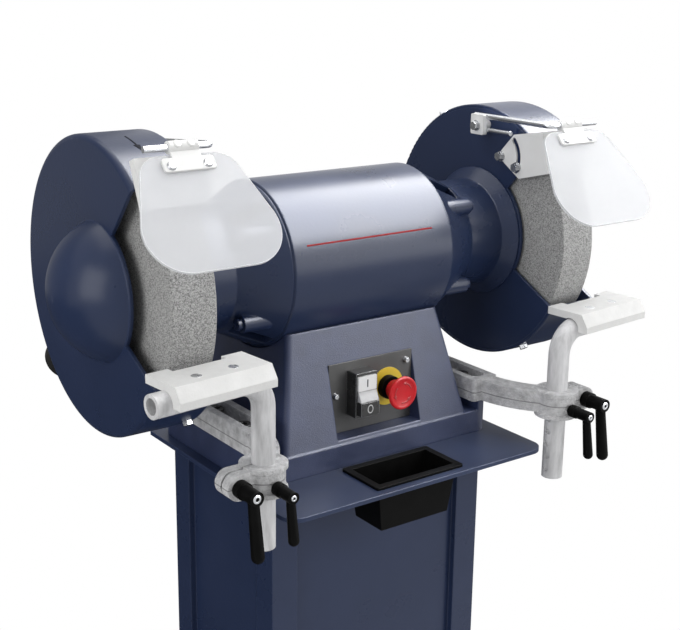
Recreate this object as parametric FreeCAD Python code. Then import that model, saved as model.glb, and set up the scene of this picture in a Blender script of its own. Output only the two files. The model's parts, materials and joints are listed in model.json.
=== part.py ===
import FreeCAD, Part
import math
import os

# Pedestal grinder. Sizes are in millimetres and angles in degrees.
# X runs along the spindle, -Y faces the user and Z points up.
# The origin is on the floor, straight below the middle of the spindle.
# Head pieces are drawn about the spindle axis and then lifted to the spindle height.

# Stand
stand_height = 800.0          # floor to the top of the tray
floor_plate_width = 420.0
floor_plate_depth = 360.0
floor_plate_thickness = 10.0
anchor_spacing_x = 360.0
anchor_spacing_y = 300.0
anchor_hole_radius = 7.0
column_width = 305.0
column_depth = 224.0
column_sheet = 3.0
corner_strip = 34.0           # width of the flat strips at the column's corners
panel_setback = 8.0           # how far the panels lie behind the strips
column_top_thickness = 6.0
tray_width = 368.0
tray_thickness = 5.0
tray_corner_radius = 20.0
tray_front_margin = 10.0      # tray in front of the pot
tray_back_overhang = 3.0
stand_bolt_radius = 5.0
stand_bolt_head_radius = 8.5
stand_bolt_head_height = 6.5
stand_bolt_thread = 18.0      # depth of thread in the plinth

# Water pot
pot_width = 124.0
pot_depth = 68.0
pot_height = 55.0             # below the tray top
pot_rim_width = 6.0
pot_rim_thickness = 3.0
pot_wall = 2.5
pot_taper_x = 8.0
pot_taper_y = 4.0
pot_gap = 5.0                 # pot to column
pot_clearance = 0.5

# Base casting
spindle_above_tray = 225.0
plinth_width = 340.0
plinth_setback = 2.0          # plinth behind the column's front strips
plinth_height = 28.0
plinth_corner_radius = 20.0
pedestal_bottom_width = 266.0
pedestal_top_width = 216.0
pedestal_top_drop = 67.0      # spindle axis to the flat top of the pedestal
pedestal_edge_radius = 7.0
pedestal_ledge = 2.0          # plinth in front of the pedestal's foot
saddle_ledge = 5.0            # flat beside the motor
saddle_wall = 10.0
casting_wall = 8.0
wire_hole_radius = 12.0
arm_pad_length = 150.0

# Switch panel
panel_width = 120.0
panel_height = 84.0
panel_top_drop = 108.0        # spindle axis to the top edge of the panel
panel_thickness = 2.0
panel_margin = 8.0            # ledge that the panel rests on
panel_clearance = 0.5
panel_screw_radius = 2.0
panel_screw_head_radius = 4.0
panel_screw_head_height = 4.5
panel_screw_length = 6.0
panel_screw_inset = 9.0       # from the panel's side edges
panel_screw_left_drop = 38.0  # from the panel's top edge
panel_screw_right_drop = 12.0
switch_width = 30.0
switch_height = 54.0
switch_depth = 18.0
switch_inset = 25.5           # from the panel's left edge
switch_drop = 10.0            # from the panel's top edge
switch_body_depth = 36.0
switch_frame = 3.5            # frame round the buttons
start_button_height = 18.0
start_button_proud = 2.0
pilot_height = 12.0           # pilot window between the buttons
stop_button_height = 17.0
stop_button_proud = 8.0
button_travel = 3.0
button_clearance = 0.3
estop_gap = 5.0               # switch housing to the ring
estop_drop = 39.6             # from the panel's top edge
estop_ring_radius = 23.0
estop_ring_thickness = 1.5
estop_collar_radius = 14.0
estop_collar_height = 8.0
estop_body_radius = 11.0
estop_stem_radius = 7.0
estop_travel = 3.5
estop_head_radius = 20.0
estop_head_height = 5.0
estop_neck_height = 15.0
estop_neck_radius = 11.2
estop_head_edge = 2.4

# Cable gland
gland_offset = 60.0           # from the middle of the machine
gland_drop = 170.0            # below the spindle axis
gland_hole_radius = 10.0
gland_pad_radius = 17.0
gland_nut_radius = 14.0
gland_nut_length = 7.0
gland_dome_radius = 10.5
gland_dome_length = 16.0
gland_cable_radius = 5.0

# Motor
motor_length = 225.0
motor_radius = 97.0
motor_wall = 8.0
motor_edge = 2.0
stator_length = 110.0
stator_bore_radius = 56.0
air_gap = 0.6
winding_length = 30.0
winding_inner_radius = 60.0
winding_outer_radius = 84.0
winding_edge = 8.0

# End bells
bell_length = 120.5
bell_step = 2.0               # bell rim below the sleeve
bell_spigot = 7.5
bell_wall = 7.0
cone_length = 55.5
neck_radius = 68.0
flange_radius = 82.0
flange_lip = 2.0
recess_radius = 62.0
recess_depth = 19.0
window_angle = 58.0           # from the horizontal
window_width = 20.0
window_length = 44.0
boss_angle = 38.0
boss_circle_radius = 79.0
boss_radius = 10.0
boss_length = 48.0
bell_bolt_radius = 4.0
bell_bolt_head_radius = 6.5
bell_bolt_head_height = 6.0
bell_bolt_thread = 16.0

# Bearings and spindle
bearing_radius = 40.0
bearing_width = 23.0
bearing_setback = 13.0        # from the recess floor to the bearing
shaft_rotor_radius = 23.0
shaft_bearing_radius = 20.0
shaft_wheel_radius = 16.0
running_clearance = 0.05
wheel_flange_radius = 55.0
wheel_flange_outer = 12.4     # thickness of the outer flange
recess_clearance = 2.0        # recess floor to the inner flange
nut_across_flats = 46.0
nut_height = 18.0
shaft_thread_proud = 4.0
spindle_float = 0.2           # shaft shoulder to bearing

# Wheels and guards
wheel_radius = 150.0
wheel_width = 50.0
wheel_inner_gap = 3.6         # guard plate to wheel
wheel_outer_gap = 14.4        # wheel to guard shell
wheel_edge = 1.0
guard_rim_gap = 7.0           # wheel to guard rim
guard_wall = 4.0
guard_plate_thickness = 4.0
guard_plate_hole_radius = 60.0
guard_edge_radius = 6.0
guard_inner_edge = 2.0
notch_inner_radius = 84.0     # of the guard plate's opening
notch_top_angle = 48.5        # above the front horizontal
notch_bottom_angle = 27.0     # below the front horizontal
dome_radius = 75.0
dome_height = 50.0
dome_forward = 20.0           # dome's middle in front of the spindle
dome_margin = 1.5             # dome to the edge of the shell's opening
spigot_angle = 39.0           # below the back horizontal
spigot_radius = 24.0
spigot_wall = 3.0
spigot_length = 34.0
cap_wall = 2.5
cap_overlap = 10.0
cap_end = 8.0
rim_bolt_radius = 3.0
rim_bolt_head_radius = 5.5
rim_bolt_head_height = 5.0
rim_bolt_inset = 10.0         # from the guard's inner face
rim_bolt_angles = (57.0, 123.0, 240.0)   # below the front horizontal
rim_tab_width = 20.0
rim_tab_length = 19.0
rim_tab_thickness = 3.5
mount_screw_radius = 4.0
mount_screw_head_radius = 7.5
mount_screw_circle = 72.0
mount_screw_angle = 45.0      # first of four screws, from the front horizontal
mount_screw_length = 8.0      # in the bell's flange

# Spark deflectors
deflector_sheet = 2.5
deflector_clearance = 0.3
deflector_pivot_inset = 38.5  # wheel radius less the pivot's distance from the axis
deflector_pivot_angle = 66.2  # above the front horizontal
deflector_tip = 7.0           # plate behind the pivot
deflector_shoulder_back = 21.0
deflector_shoulder_rise = 29.0
deflector_top_reach = 70.0
deflector_top_rise = 38.0
deflector_bottom_reach = 82.0
deflector_bottom_drop = 11.0
deflector_heel_reach = 33.0
deflector_heel_drop = 24.0
deflector_edge_inset = 3.0    # front plate to the guard's outer face
deflector_return = 10.0       # flange folded back at the outer side
slot_radius = 31.0
slot_width = 7.0
slot_screw_angle = 19.0       # slot screw, below the pivot's front horizontal
slot_lower_margin = 9.5
slot_upper_angle = 45.0
left_deflector_turn = 9.0     # left deflector as set: front up by this angle
right_deflector_turn = 0.0
side_screw_radius = 3.0
side_screw_head_radius = 5.5
side_screw_head_height = 5.0
side_screw_washer_radius = 6.5
side_screw_washer = 1.5

# Eye shields
shield_pivot_forward = 15.0   # pivot bolt in front of the spindle axis
shield_pivot_inset = 12.0     # wheel radius less the pivot's height
shield_plate_thickness = 6.5
shield_block_back = 11.0
shield_block_front = 12.0
shield_block_up = 14.0
shield_block_down = 11.0
shield_collar_radius = 6.0
shield_standoff = 12.0        # clamp plate to the guard's inner face
rod_radius = 3.5
rod_rise = 11.5               # upper rod above the pivot
rod_embed = 2.5               # depth of the rods in the clamp plate
rod_length = 130.0            # upper rod from its back end to the hinge line
rod_bend_radius = 8.0
rod_end = 65.0                # rod end beyond the guard's inner face, on the hinge line
low_rod_radius = 3.0
low_rod_drop = 5.0
low_rod_gap = 1.0             # pivot washer to the lower rod's back end
low_rod_forward = 51.0
hinge_clearance = 0.05
hinge_width = 32.0
hinge_wall = 3.0
bracket_sheet = 2.5
bracket_height = 28.0
bracket_neck = 13.0           # height of the narrow part of the bracket
bracket_width = 57.0
shield_thickness = 3.0
shield_top_width = 97.0
shield_bottom_width = 180.0
shield_height = 126.0
shield_top_gap = 9.0          # hinge line to the shield's top edge
shield_top_radius = 25.0
shield_bottom_radius = 42.0
shield_tilt = 40.0            # pane from upright, bottom to the user
left_bracket_outset = 23.0    # bracket middle beyond the guard's inner face
right_bracket_outset = 21.0
left_rod_forward = 99.0       # pivot to the hinge line
right_rod_forward = 119.0
left_shield_turn = 5.5        # shield arm as set: front up by this angle
right_shield_turn = 0.0
bracket_screw_spacing = 40.0
bracket_screw_drop = 22.0
bracket_screw_radius = 2.5
bracket_screw_head_radius = 5.0
bracket_screw_head_height = 2.5
bracket_nut_height = 3.0

# Work rests
arm_inset = 10.0              # arm middle inside the plinth's end
arm_block_width = 38.0
arm_block_length = 146.0
arm_block_height = 28.0
arm_block_drop = 185.0        # spindle axis to the block's underside
arm_slot_width = 13.0
arm_slot_length = 120.0
arm_slot_inset = 13.0         # block front to the lower slot
arm_head_slot_width = 20.0
arm_head_slot_depth = 16.0
arm_bolt_radius = 6.0
arm_bolt_head_radius = 9.0
arm_bolt_head_height = 10.0
arm_bolt_thread = 20.0
arm_bolt_spacing = 60.0
arm_bolt_middle = 35.0        # middle of the bolt pair, in front of the spindle axis
arm_bar_width = 24.0
arm_bar_height = 26.0
arm_reach = 75.0              # block front to boss middle
arm_bar_start = 14.0          # bar root behind the block front
arm_bar_inset = 5.0           # bar root beside the block middle
boss_outset = 46.0            # boss beside the block middle
rest_boss_radius = 23.0
rest_boss_ring_radius = 25.5
rest_boss_ring_height = 5.0
rest_boss_height = 32.0
rest_boss_sink = 5.0          # boss below the block's underside
ear_reach = 36.0              # boss axis to clamp stud
ear_radius = 14.0
ear_thickness = 26.0
ear_split = 3.0
post_radius = 12.5
post_bore_radius = 8.5
post_clearance = 0.08         # post in its boss
post_bend_radius = 30.0
post_drop = 184.0             # horizontal tube axis to the post's lower end
post_tube_length = 132.0      # post axis to the tube's outer end
detent_radius = 3.5
detent_depth = 2.5
detent_pitch = 16.0
detent_count = 5
detent_first = 12.0           # lowest detent above the post's lower end
table_width = 115.0
table_depth = 50.0            # flat top
table_behind_tube = 34.0
table_thickness = 9.0
table_chamfer_out = 9.0
table_chamfer_drop = 14.0
table_skirt_drop = 22.0
table_notch_width = 64.0
table_notch_depth = 9.0
tube_seat_depth = 1.5
table_screw_spacing = 44.0
table_screw_radius = 3.0
table_screw_head_radius = 5.5
table_screw_head_height = 3.0
table_screw_length = 12.0
left_boss_forward = 179.0     # left rest as set: boss in front of the spindle axis
left_table_drop = 48.5        # table top below the spindle axis
left_table_shift = 58.5       # table middle beyond the post
left_swivel = -5.5            # outer end towards the user when negative
right_boss_forward = 186.0
right_table_drop = 66.0
right_table_shift = 75.0
right_swivel = 5.5

# Levers
lever_stud_radius = 4.0
stud_clearance = 0.05
lever_gap = 0.5
clamp_hub_length = 32.0
clamp_hub_radius = 8.0
clamp_collar_radius = 9.5
clamp_collar_length = 10.0
clamp_handle_length = 62.0
clamp_handle_radius = 7.0
lock_hub_length = 30.0
lock_hub_radius = 6.5
lock_collar_radius = 7.5
lock_collar_length = 9.0
lock_handle_length = 46.0
lock_handle_radius = 5.8
handle_taper = 1.2
handle_lean = 8.0             # handle leans to the user by this angle
lock_stud_drop = 20.0         # lock stud below the boss's upper face
stud_tip_gap = 0.4            # lock stud tip to the post

# Levels and places worked out from the sizes above
spindle_height = stand_height + spindle_above_tray
tray_top = -spindle_above_tray
plinth_top = tray_top + plinth_height
plinth_depth = column_depth - 2*plinth_setback
pot_back = column_depth/2 + pot_gap
pot_front = pot_back + pot_depth
tray_front = pot_front + tray_front_margin
tray_back = column_depth/2 + tray_back_overhang
stand_bolt_x = column_width/2 - corner_strip/2
stand_bolt_y = column_depth/2 - corner_strip/2

motor_end = motor_length/2
motor_bore = motor_radius - motor_wall
guard_face = motor_end + bell_length
plate_inside = guard_face + guard_plate_thickness
wheel_inside = plate_inside + wheel_inner_gap
wheel_middle = wheel_inside + wheel_width/2
wheel_outside = wheel_inside + wheel_width
shell_inside = wheel_outside + wheel_outer_gap
shell_face = shell_inside + guard_wall
guard_bore = wheel_radius + guard_rim_gap
guard_radius = guard_bore + guard_wall
recess_floor = guard_face - recess_depth
bearing_outside = recess_floor - bearing_setback
bearing_inside = bearing_outside - bearing_width
flange_inside = recess_floor + recess_clearance
flange_outside = wheel_outside + wheel_flange_outer
nut_outside = flange_outside + nut_height
spindle_end = nut_outside + shaft_thread_proud

pedestal_top = -pedestal_top_drop
pedestal_bottom_depth = plinth_depth - 2*pedestal_ledge
pedestal_top_depth = 2*(math.sqrt(motor_radius**2 - pedestal_top_drop**2) + saddle_ledge)
pedestal_rise = pedestal_top - plinth_top
cavity_top = -(motor_radius + saddle_wall)


def pedestal_half_depth(level):
    """Half depth of the pedestal at a level below the spindle axis."""
    share = (level - plinth_top)/pedestal_rise
    return pedestal_bottom_depth/2 + share*(pedestal_top_depth - pedestal_bottom_depth)/2


def pedestal_half_width(level):
    """Half width of the pedestal at a level below the spindle axis."""
    share = (level - plinth_top)/pedestal_rise
    return pedestal_bottom_width/2 + share*(pedestal_top_width - pedestal_bottom_width)/2


panel_top = -panel_top_drop
panel_bottom = panel_top - panel_height
panel_seat = -pedestal_half_depth(panel_top)
panel_front = panel_seat - panel_thickness
switch_x = -panel_width/2 + switch_inset + switch_width/2
switch_top = panel_top - switch_drop
switch_bottom = switch_top - switch_height
start_top = switch_top - switch_frame
start_bottom = start_top - start_button_height
stop_top = start_bottom - pilot_height
stop_bottom = stop_top - stop_button_height
button_half_width = switch_width/2 - switch_frame/2
estop_x = switch_x + switch_width/2 + estop_gap + estop_ring_radius
estop_z = panel_top - estop_drop
collar_back = panel_front - estop_ring_thickness
collar_front = collar_back - estop_collar_height

arm_middle = plinth_width/2 - arm_inset
block_bottom = -arm_block_drop
block_top = block_bottom + arm_block_height
head_slot_floor = block_top - arm_head_slot_depth
boss_x = arm_middle + boss_outset
boss_bottom = block_bottom - rest_boss_sink
boss_top = boss_bottom + rest_boss_height
boss_middle = (boss_bottom + boss_top)/2
tube_drop = table_thickness - tube_seat_depth + post_radius
shield_pivot_z = wheel_radius - shield_pivot_inset
shield_plate_inside = guard_face - shield_standoff
rod_x = shield_plate_inside - rod_embed + rod_radius
hinge_z = shield_pivot_z + rod_rise
pivot_reach = wheel_radius - deflector_pivot_inset
deflector_y = -pivot_reach*math.cos(math.radians(deflector_pivot_angle))
deflector_z = pivot_reach*math.sin(math.radians(deflector_pivot_angle))
deflector_inside = guard_face - deflector_clearance
deflector_outside = deflector_inside - deflector_sheet

axis_x = FreeCAD.Vector(1, 0, 0)
axis_y = FreeCAD.Vector(0, 1, 0)
axis_z = FreeCAD.Vector(0, 0, 1)
origin = FreeCAD.Vector(0, 0, 0)


def point(x, y, z):
    return FreeCAD.Vector(x, y, z)


def box(x0, x1, y0, y1, z0, z1):
    """Box between two opposite corners."""
    return Part.makeBox(x1 - x0, y1 - y0, z1 - z0, point(x0, y0, z0))


def rod(start, end, radius):
    """Round bar from one point to another."""
    run = end - start
    return Part.makeCylinder(radius, run.Length, start, run)


def cone(start, end, start_radius, end_radius):
    """Tapered round bar from one point to another."""
    run = end - start
    return Part.makeCone(start_radius, end_radius, run.Length, start, run)


def prism(corners, run):
    """Straight prism on a closed flat outline of corners."""
    outline = Part.makePolygon(corners + [corners[0]])
    return Part.Face(outline).extrude(run)


def prism_x(outline, x0, x1):
    """Prism along X on an outline of (y, z) corners."""
    return prism([point(x0, y, z) for y, z in outline], point(x1 - x0, 0, 0))


def prism_z(outline, z0, z1):
    """Prism along Z on an outline of (x, y) corners."""
    return prism([point(x, y, z0) for x, y in outline], point(0, 0, z1 - z0))


def hexagon_bar(start, end, across_flats):
    """Six-sided bar from one point to another."""
    run = end - start
    radius = across_flats/math.sqrt(3)
    corners = []
    for corner in range(6):
        turn = math.radians(60*corner)
        corners.append(point(radius*math.cos(turn), radius*math.sin(turn), 0))
    bar = prism(corners, point(0, 0, run.Length))
    bar.Placement = FreeCAD.Placement(start, FreeCAD.Rotation(axis_z, run))
    return bar


def turned(profile):
    """Solid turned about the X axis from edges or (x, radius) corners."""
    if isinstance(profile[0], tuple):
        corners = [point(x, 0, radius) for x, radius in profile]
        outline = Part.makePolygon(corners + [corners[0]])
    else:
        outline = Part.Wire(Part.__sortEdges__(profile))
    return Part.Face(outline).revolve(origin, axis_x, 360)


def frustum(half_x0, half_y0, z0, half_x1, half_y1, z1, middle_y=0):
    """Straight-sided block between a lower and an upper rectangle."""
    rings = []
    for half_x, half_y, z in ((half_x0, half_y0, z0), (half_x1, half_y1, z1)):
        corners = [point(sx*half_x, middle_y + sy*half_y, z)
                   for sx, sy in ((-1, -1), (1, -1), (1, 1), (-1, 1))]
        rings.append(Part.makePolygon(corners + [corners[0]]))
    return Part.makeLoft(rings, True, True)


def rounded(solid, radius, chosen):
    """Solid with a fillet on the edges that a test picks."""
    edges = [edge for edge in solid.Edges if chosen(edge)]
    return solid.makeFillet(radius, edges)


def runs_along(edge, direction):
    """Whether an edge is a straight line along a direction."""
    if not isinstance(edge.Curve, Part.Line):
        return False
    run = edge.Vertexes[-1].Point - edge.Vertexes[0].Point
    return abs(run.dot(direction)) > 0.9999*run.Length


def climbs(edge):
    """Whether an edge leaves the level plane."""
    return abs(edge.Vertexes[-1].Z - edge.Vertexes[0].Z) > 1e-6


def mirrored(solid):
    """The other side's copy."""
    return solid.mirror(origin, axis_x)


def both_sides(solids):
    """A list of right-hand solids and their left-hand copies."""
    return solids + [mirrored(solid) for solid in solids]


def radial(angle, radius, x):
    """Point at a radius from the spindle axis; the angle climbs from the front horizontal."""
    turn = math.radians(angle)
    return point(x, -radius*math.cos(turn), radius*math.sin(turn))


def lifted(solid):
    """Head piece moved from the spindle axis to its height above the floor."""
    return solid.translated(point(0, 0, spindle_height))


# Stand

def recessed_outline(half_x, half_y, strip, setback):
    """Rectangle whose four sides step back between the corner strips."""
    quarter = [(half_x, half_y - strip), (half_x, half_y), (half_x - strip, half_y)]
    inner_x = half_x - setback
    inner_y = half_y - setback
    corner = [(inner_x, half_y - strip)] + quarter + [(half_x - strip, inner_y)]
    outline = []
    for sign_x, sign_y in ((1, 1), (-1, 1), (-1, -1), (1, -1)):
        turned_corner = [(sign_x*x, sign_y*y) for x, y in corner]
        outline += turned_corner if sign_x*sign_y > 0 else turned_corner[::-1]
    return outline


def stand_bolt_places():
    return [(sx*stand_bolt_x, sy*stand_bolt_y) for sx in (-1, 1) for sy in (-1, 1)]


def stand_base_plate():
    plate = box(-floor_plate_width/2, floor_plate_width/2, -floor_plate_depth/2, floor_plate_depth/2,
                0, floor_plate_thickness)
    for sx in (-1, 1):
        for sy in (-1, 1):
            foot = point(sx*anchor_spacing_x/2, sy*anchor_spacing_y/2, 0)
            plate = plate.cut(rod(foot, foot + axis_z*floor_plate_thickness, anchor_hole_radius))
    return plate


def stand_column():
    top = stand_height - tray_thickness
    outline = recessed_outline(column_width/2, column_depth/2, corner_strip, panel_setback)
    inside = recessed_outline(column_width/2 - column_sheet, column_depth/2 - column_sheet,
                              corner_strip - 2*column_sheet, panel_setback)
    column = prism_z(outline, floor_plate_thickness, top)
    column = column.cut(prism_z(inside, floor_plate_thickness, top - column_top_thickness))
    for x, y in stand_bolt_places():
        foot = point(x, y, top - column_top_thickness)
        column = column.cut(rod(foot, foot + axis_z*column_top_thickness, stand_bolt_radius))
    return column


def tray_plate():
    bottom = stand_height - tray_thickness
    plate = box(-tray_width/2, tray_width/2, -tray_front, tray_back, bottom, stand_height)
    plate = rounded(plate, tray_corner_radius, lambda edge: climbs(edge) and edge.Vertexes[0].Y < 0)
    half_x = pot_width/2 - pot_rim_width + pot_clearance
    half_y = pot_depth/2 - pot_rim_width + pot_clearance
    middle = -(pot_front + pot_back)/2
    plate = plate.cut(box(-half_x, half_x, middle - half_y, middle + half_y, bottom, stand_height))
    for x, y in stand_bolt_places():
        foot = point(x, y, bottom)
        plate = plate.cut(rod(foot, foot + axis_z*tray_thickness, stand_bolt_radius))
    return plate


def water_pot():
    middle = -(pot_front + pot_back)/2
    half_x = pot_width/2 - pot_rim_width
    half_y = pot_depth/2 - pot_rim_width
    bottom = stand_height - pot_height
    rim_top = stand_height + pot_rim_thickness
    body = frustum(half_x - pot_taper_x, half_y - pot_taper_y, bottom, half_x, half_y, stand_height,
                   middle)
    rim = box(-pot_width/2, pot_width/2, -pot_front, -pot_back, stand_height, rim_top)
    rim = rounded(rim, pot_rim_width/2, climbs)
    mouth_x = half_x - pot_wall
    mouth_y = half_y - pot_wall
    hollow = frustum(mouth_x - pot_taper_x, mouth_y - pot_taper_y, bottom + pot_wall,
                     mouth_x, mouth_y, rim_top, middle)
    return body.fuse(rim).cut(hollow).removeSplitter()


def stand_bolts():
    bolts = []
    head_top = stand_height - tray_thickness - column_top_thickness
    for x, y in stand_bolt_places():
        seat = point(x, y, head_top)
        head = hexagon_bar(seat - axis_z*stand_bolt_head_height, seat,
                           stand_bolt_head_radius*math.sqrt(3))
        shank = rod(seat, point(x, y, stand_height + stand_bolt_thread), stand_bolt_radius)
        bolts.append(head.fuse(shank).removeSplitter())
    return Part.makeCompound(bolts)


# Base casting and switch panel

def arm_bolt_places():
    ends = (-arm_bolt_middle - arm_bolt_spacing/2, -arm_bolt_middle + arm_bolt_spacing/2)
    return [(sx*arm_middle, y) for sx in (-1, 1) for y in ends]


def base_casting():
    bottom_x = pedestal_bottom_width/2
    bottom_y = pedestal_bottom_depth/2
    outer = frustum(bottom_x, bottom_y, plinth_top, pedestal_top_width/2, pedestal_top_depth/2,
                    pedestal_top)
    outer = rounded(outer, pedestal_edge_radius, climbs)
    plinth = box(-plinth_width/2, plinth_width/2, -plinth_depth/2, plinth_depth/2, tray_top, plinth_top)
    plinth = rounded(plinth, plinth_corner_radius, climbs)
    cavity_x = pedestal_half_width(cavity_top) - casting_wall
    cavity_y = pedestal_half_depth(cavity_top) - casting_wall
    hollow = frustum(bottom_x - casting_wall, bottom_y - casting_wall, plinth_top, cavity_x, cavity_y,
                     cavity_top)
    foot = box(casting_wall - bottom_x, bottom_x - casting_wall, casting_wall - bottom_y,
               bottom_y - casting_wall,
               tray_top, plinth_top)
    casting = outer.fuse(plinth).cut(hollow.fuse(foot))

    # Lugs for the stand bolts, pads for the rest arms and the pad of the cable gland
    lug = 2.4*stand_bolt_radius
    for x, y in stand_bolt_places():
        casting = casting.fuse(box(x - lug, x + lug, y - lug, y + lug, tray_top,
                                   plinth_top).common(plinth))
    for side in (-1, 1):
        middle = side*arm_middle
        pad = box(middle - arm_inset, middle + arm_inset, -arm_bolt_middle - arm_pad_length/2,
                  -arm_bolt_middle + arm_pad_length/2, plinth_top, block_bottom)
        casting = casting.fuse(pad.common(plinth.translated(point(0, 0, plinth_height))))
    gland_pad = rod(point(gland_offset, 0, -gland_drop), point(gland_offset, plinth_depth/2, -gland_drop),
                    gland_pad_radius)
    casting = casting.fuse(gland_pad.cut(hollow))

    # Niche of the switch panel: the wall round its opening carries the panel
    half = panel_width/2 + panel_clearance
    niche = box(-half - casting_wall, half + casting_wall, -plinth_depth, panel_seat + casting_wall,
                panel_bottom - casting_wall, panel_top + casting_wall)
    casting = casting.fuse(niche.common(outer))
    casting = casting.cut(box(-half, half, -plinth_depth, panel_seat, panel_bottom - panel_clearance,
                              panel_top))
    opening = box(-panel_width/2 + panel_margin + panel_screw_inset,
                  panel_width/2 - panel_margin - panel_screw_inset,
                  panel_seat, panel_seat + casting_wall,
                  panel_bottom + panel_margin, panel_top - panel_margin)
    casting = casting.cut(opening)

    # Saddle for the motor, wire passage and screw holes
    casting = casting.cut(rod(point(-guard_face, 0, 0), point(guard_face, 0, 0), motor_radius))
    casting = casting.cut(rod(point(0, 0, cavity_top), origin, wire_hole_radius))
    for x, y in stand_bolt_places():
        foot = point(x, y, tray_top)
        casting = casting.cut(rod(foot, foot + axis_z*stand_bolt_thread, stand_bolt_radius))
    for x, y in arm_bolt_places():
        top = point(x, y, block_bottom)
        casting = casting.cut(rod(top - axis_z*arm_bolt_thread, top, arm_bolt_radius))
    casting = casting.cut(rod(point(gland_offset, 0, -gland_drop),
                              point(gland_offset, plinth_depth, -gland_drop),
                              gland_hole_radius))
    for x, z in panel_screw_places():
        seat = point(x, panel_seat, z)
        casting = casting.cut(rod(seat, seat + axis_y*panel_screw_length, panel_screw_radius))
    return casting.removeSplitter()


def panel_screw_places():
    return [(panel_screw_inset - panel_width/2, panel_top - panel_screw_left_drop),
            (panel_width/2 - panel_screw_inset, panel_top - panel_screw_right_drop)]


def switch_body(grow):
    """Contact block of the twin switch behind its housing, or the hole that it needs."""
    return box(switch_x - button_half_width - grow, switch_x + button_half_width + grow,
               panel_front, panel_front + switch_body_depth,
               stop_bottom - grow, start_top + grow)


def switch_plate():
    plate = box(-panel_width/2, panel_width/2, panel_front, panel_seat, panel_bottom, panel_top)
    plate = plate.cut(switch_body(button_clearance))
    middle = point(estop_x, panel_front, estop_z)
    plate = plate.cut(rod(middle, middle + axis_y*panel_thickness, estop_body_radius))
    for x, z in panel_screw_places():
        front = point(x, panel_front, z)
        plate = plate.cut(rod(front, front + axis_y*panel_thickness, panel_screw_radius))
    return plate


def switch_plate_screws():
    screws = []
    for x, z in panel_screw_places():
        front = point(x, panel_front, z)
        head = cone(front - axis_y*panel_screw_head_height, front,
                    panel_screw_head_radius*0.7, panel_screw_head_radius)
        shank = rod(front, point(x, panel_seat + panel_screw_length, z), panel_screw_radius)
        screws.append(head.fuse(shank))
    return Part.makeCompound(screws)


def button_well(top, bottom):
    """Space for a push button, with room behind it for its travel."""
    floor = panel_front - 2*button_clearance
    return box(switch_x - button_half_width, switch_x + button_half_width,
               panel_front - 2*switch_depth, floor, bottom, top)


def switch_housing():
    front = panel_front - switch_depth
    housing = box(switch_x - switch_width/2, switch_x + switch_width/2, front, panel_front, switch_bottom,
                  switch_top)
    housing = rounded(housing, switch_frame/2, lambda edge: runs_along(edge, axis_y))
    housing = housing.cut(button_well(start_top, start_bottom))
    housing = housing.cut(button_well(stop_top, stop_bottom))
    return housing.fuse(switch_body(0)).removeSplitter()


def push_button(top, bottom, proud):
    """Button in its well, standing proud of the housing."""
    back = panel_front - 3*button_clearance - button_travel
    key = box(switch_x - button_half_width + button_clearance,
              switch_x + button_half_width - button_clearance,
              panel_front - switch_depth - proud, back, bottom + button_clearance, top - button_clearance)
    return rounded(key, 1.0, lambda edge: runs_along(edge, axis_y))


def start_button():
    return push_button(start_top, start_bottom, start_button_proud)


def stop_button():
    return push_button(stop_top, stop_bottom, stop_button_proud)


def estop_point(y):
    return point(estop_x, y, estop_z)


def estop_collar():
    collar = rod(estop_point(collar_front), estop_point(collar_back), estop_collar_radius)
    body = rod(estop_point(collar_back), estop_point(panel_front + switch_body_depth), estop_body_radius)
    stem_end = panel_front + estop_travel + button_clearance
    bore = rod(estop_point(collar_front), estop_point(stem_end), estop_stem_radius + button_clearance)
    return collar.fuse(body).cut(bore).removeSplitter()


def estop_ring():
    ring = rod(estop_point(collar_back), estop_point(panel_front), estop_ring_radius)
    return ring.cut(rod(estop_point(collar_back), estop_point(panel_front), estop_body_radius))


def estop_head():
    neck_back = collar_front - estop_travel - button_clearance
    head_back = neck_back - estop_neck_height
    head_front = head_back - estop_head_height
    head = rod(estop_point(head_front), estop_point(head_back), estop_head_radius)
    head = rounded(head, estop_head_edge, lambda edge: edge.Vertexes[0].Y < head_back - estop_head_edge)
    neck = cone(estop_point(head_back), estop_point(neck_back), estop_head_radius - estop_head_edge,
                estop_neck_radius)
    stem = rod(estop_point(neck_back), estop_point(panel_front), estop_stem_radius)
    return head.fuse(neck).fuse(stem).removeSplitter()


def cable_gland():
    seat = plinth_depth/2
    levels = (seat - casting_wall, seat, seat + gland_nut_length,
              seat + gland_nut_length + gland_dome_length)
    thread, nut_start, nut_end, tip = [point(gland_offset, y, -gland_drop) for y in levels]
    gland = rod(thread, nut_start, gland_hole_radius)
    gland = gland.fuse(hexagon_bar(nut_start, nut_end, gland_nut_radius*math.sqrt(3)))
    gland = gland.fuse(cone(nut_end, tip, gland_dome_radius, gland_dome_radius*0.8))
    return gland.cut(rod(thread, tip, gland_cable_radius)).removeSplitter()


# Motor

def boss_angles():
    return (boss_angle, 180 - boss_angle, 180 + boss_angle, -boss_angle)


def motor_housing():
    edge = motor_end - motor_edge
    sleeve = turned([(-motor_end, motor_bore), (-motor_end, motor_radius - motor_edge),
                     (-edge, motor_radius),
                     (edge, motor_radius), (motor_end, motor_radius - motor_edge),
                     (motor_end, motor_bore)])
    lug_length = bell_bolt_thread + boss_radius/4
    lug_radius = boss_radius + motor_wall/2
    ring = rod(point(-motor_end, 0, 0), point(motor_end, 0, 0), motor_radius - motor_edge)
    for side in (-1, 1):
        for angle in boss_angles():
            end = radial(angle, boss_circle_radius, side*(motor_end - bell_spigot))
            inner = radial(angle, boss_circle_radius, side*(motor_end - bell_spigot - lug_length))
            sleeve = sleeve.fuse(rod(inner, end, lug_radius).common(ring))
            sleeve = sleeve.cut(rod(inner, end, bell_bolt_radius))
    return sleeve.cut(rod(point(0, 0, -motor_radius), origin, wire_hole_radius)).removeSplitter()


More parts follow.
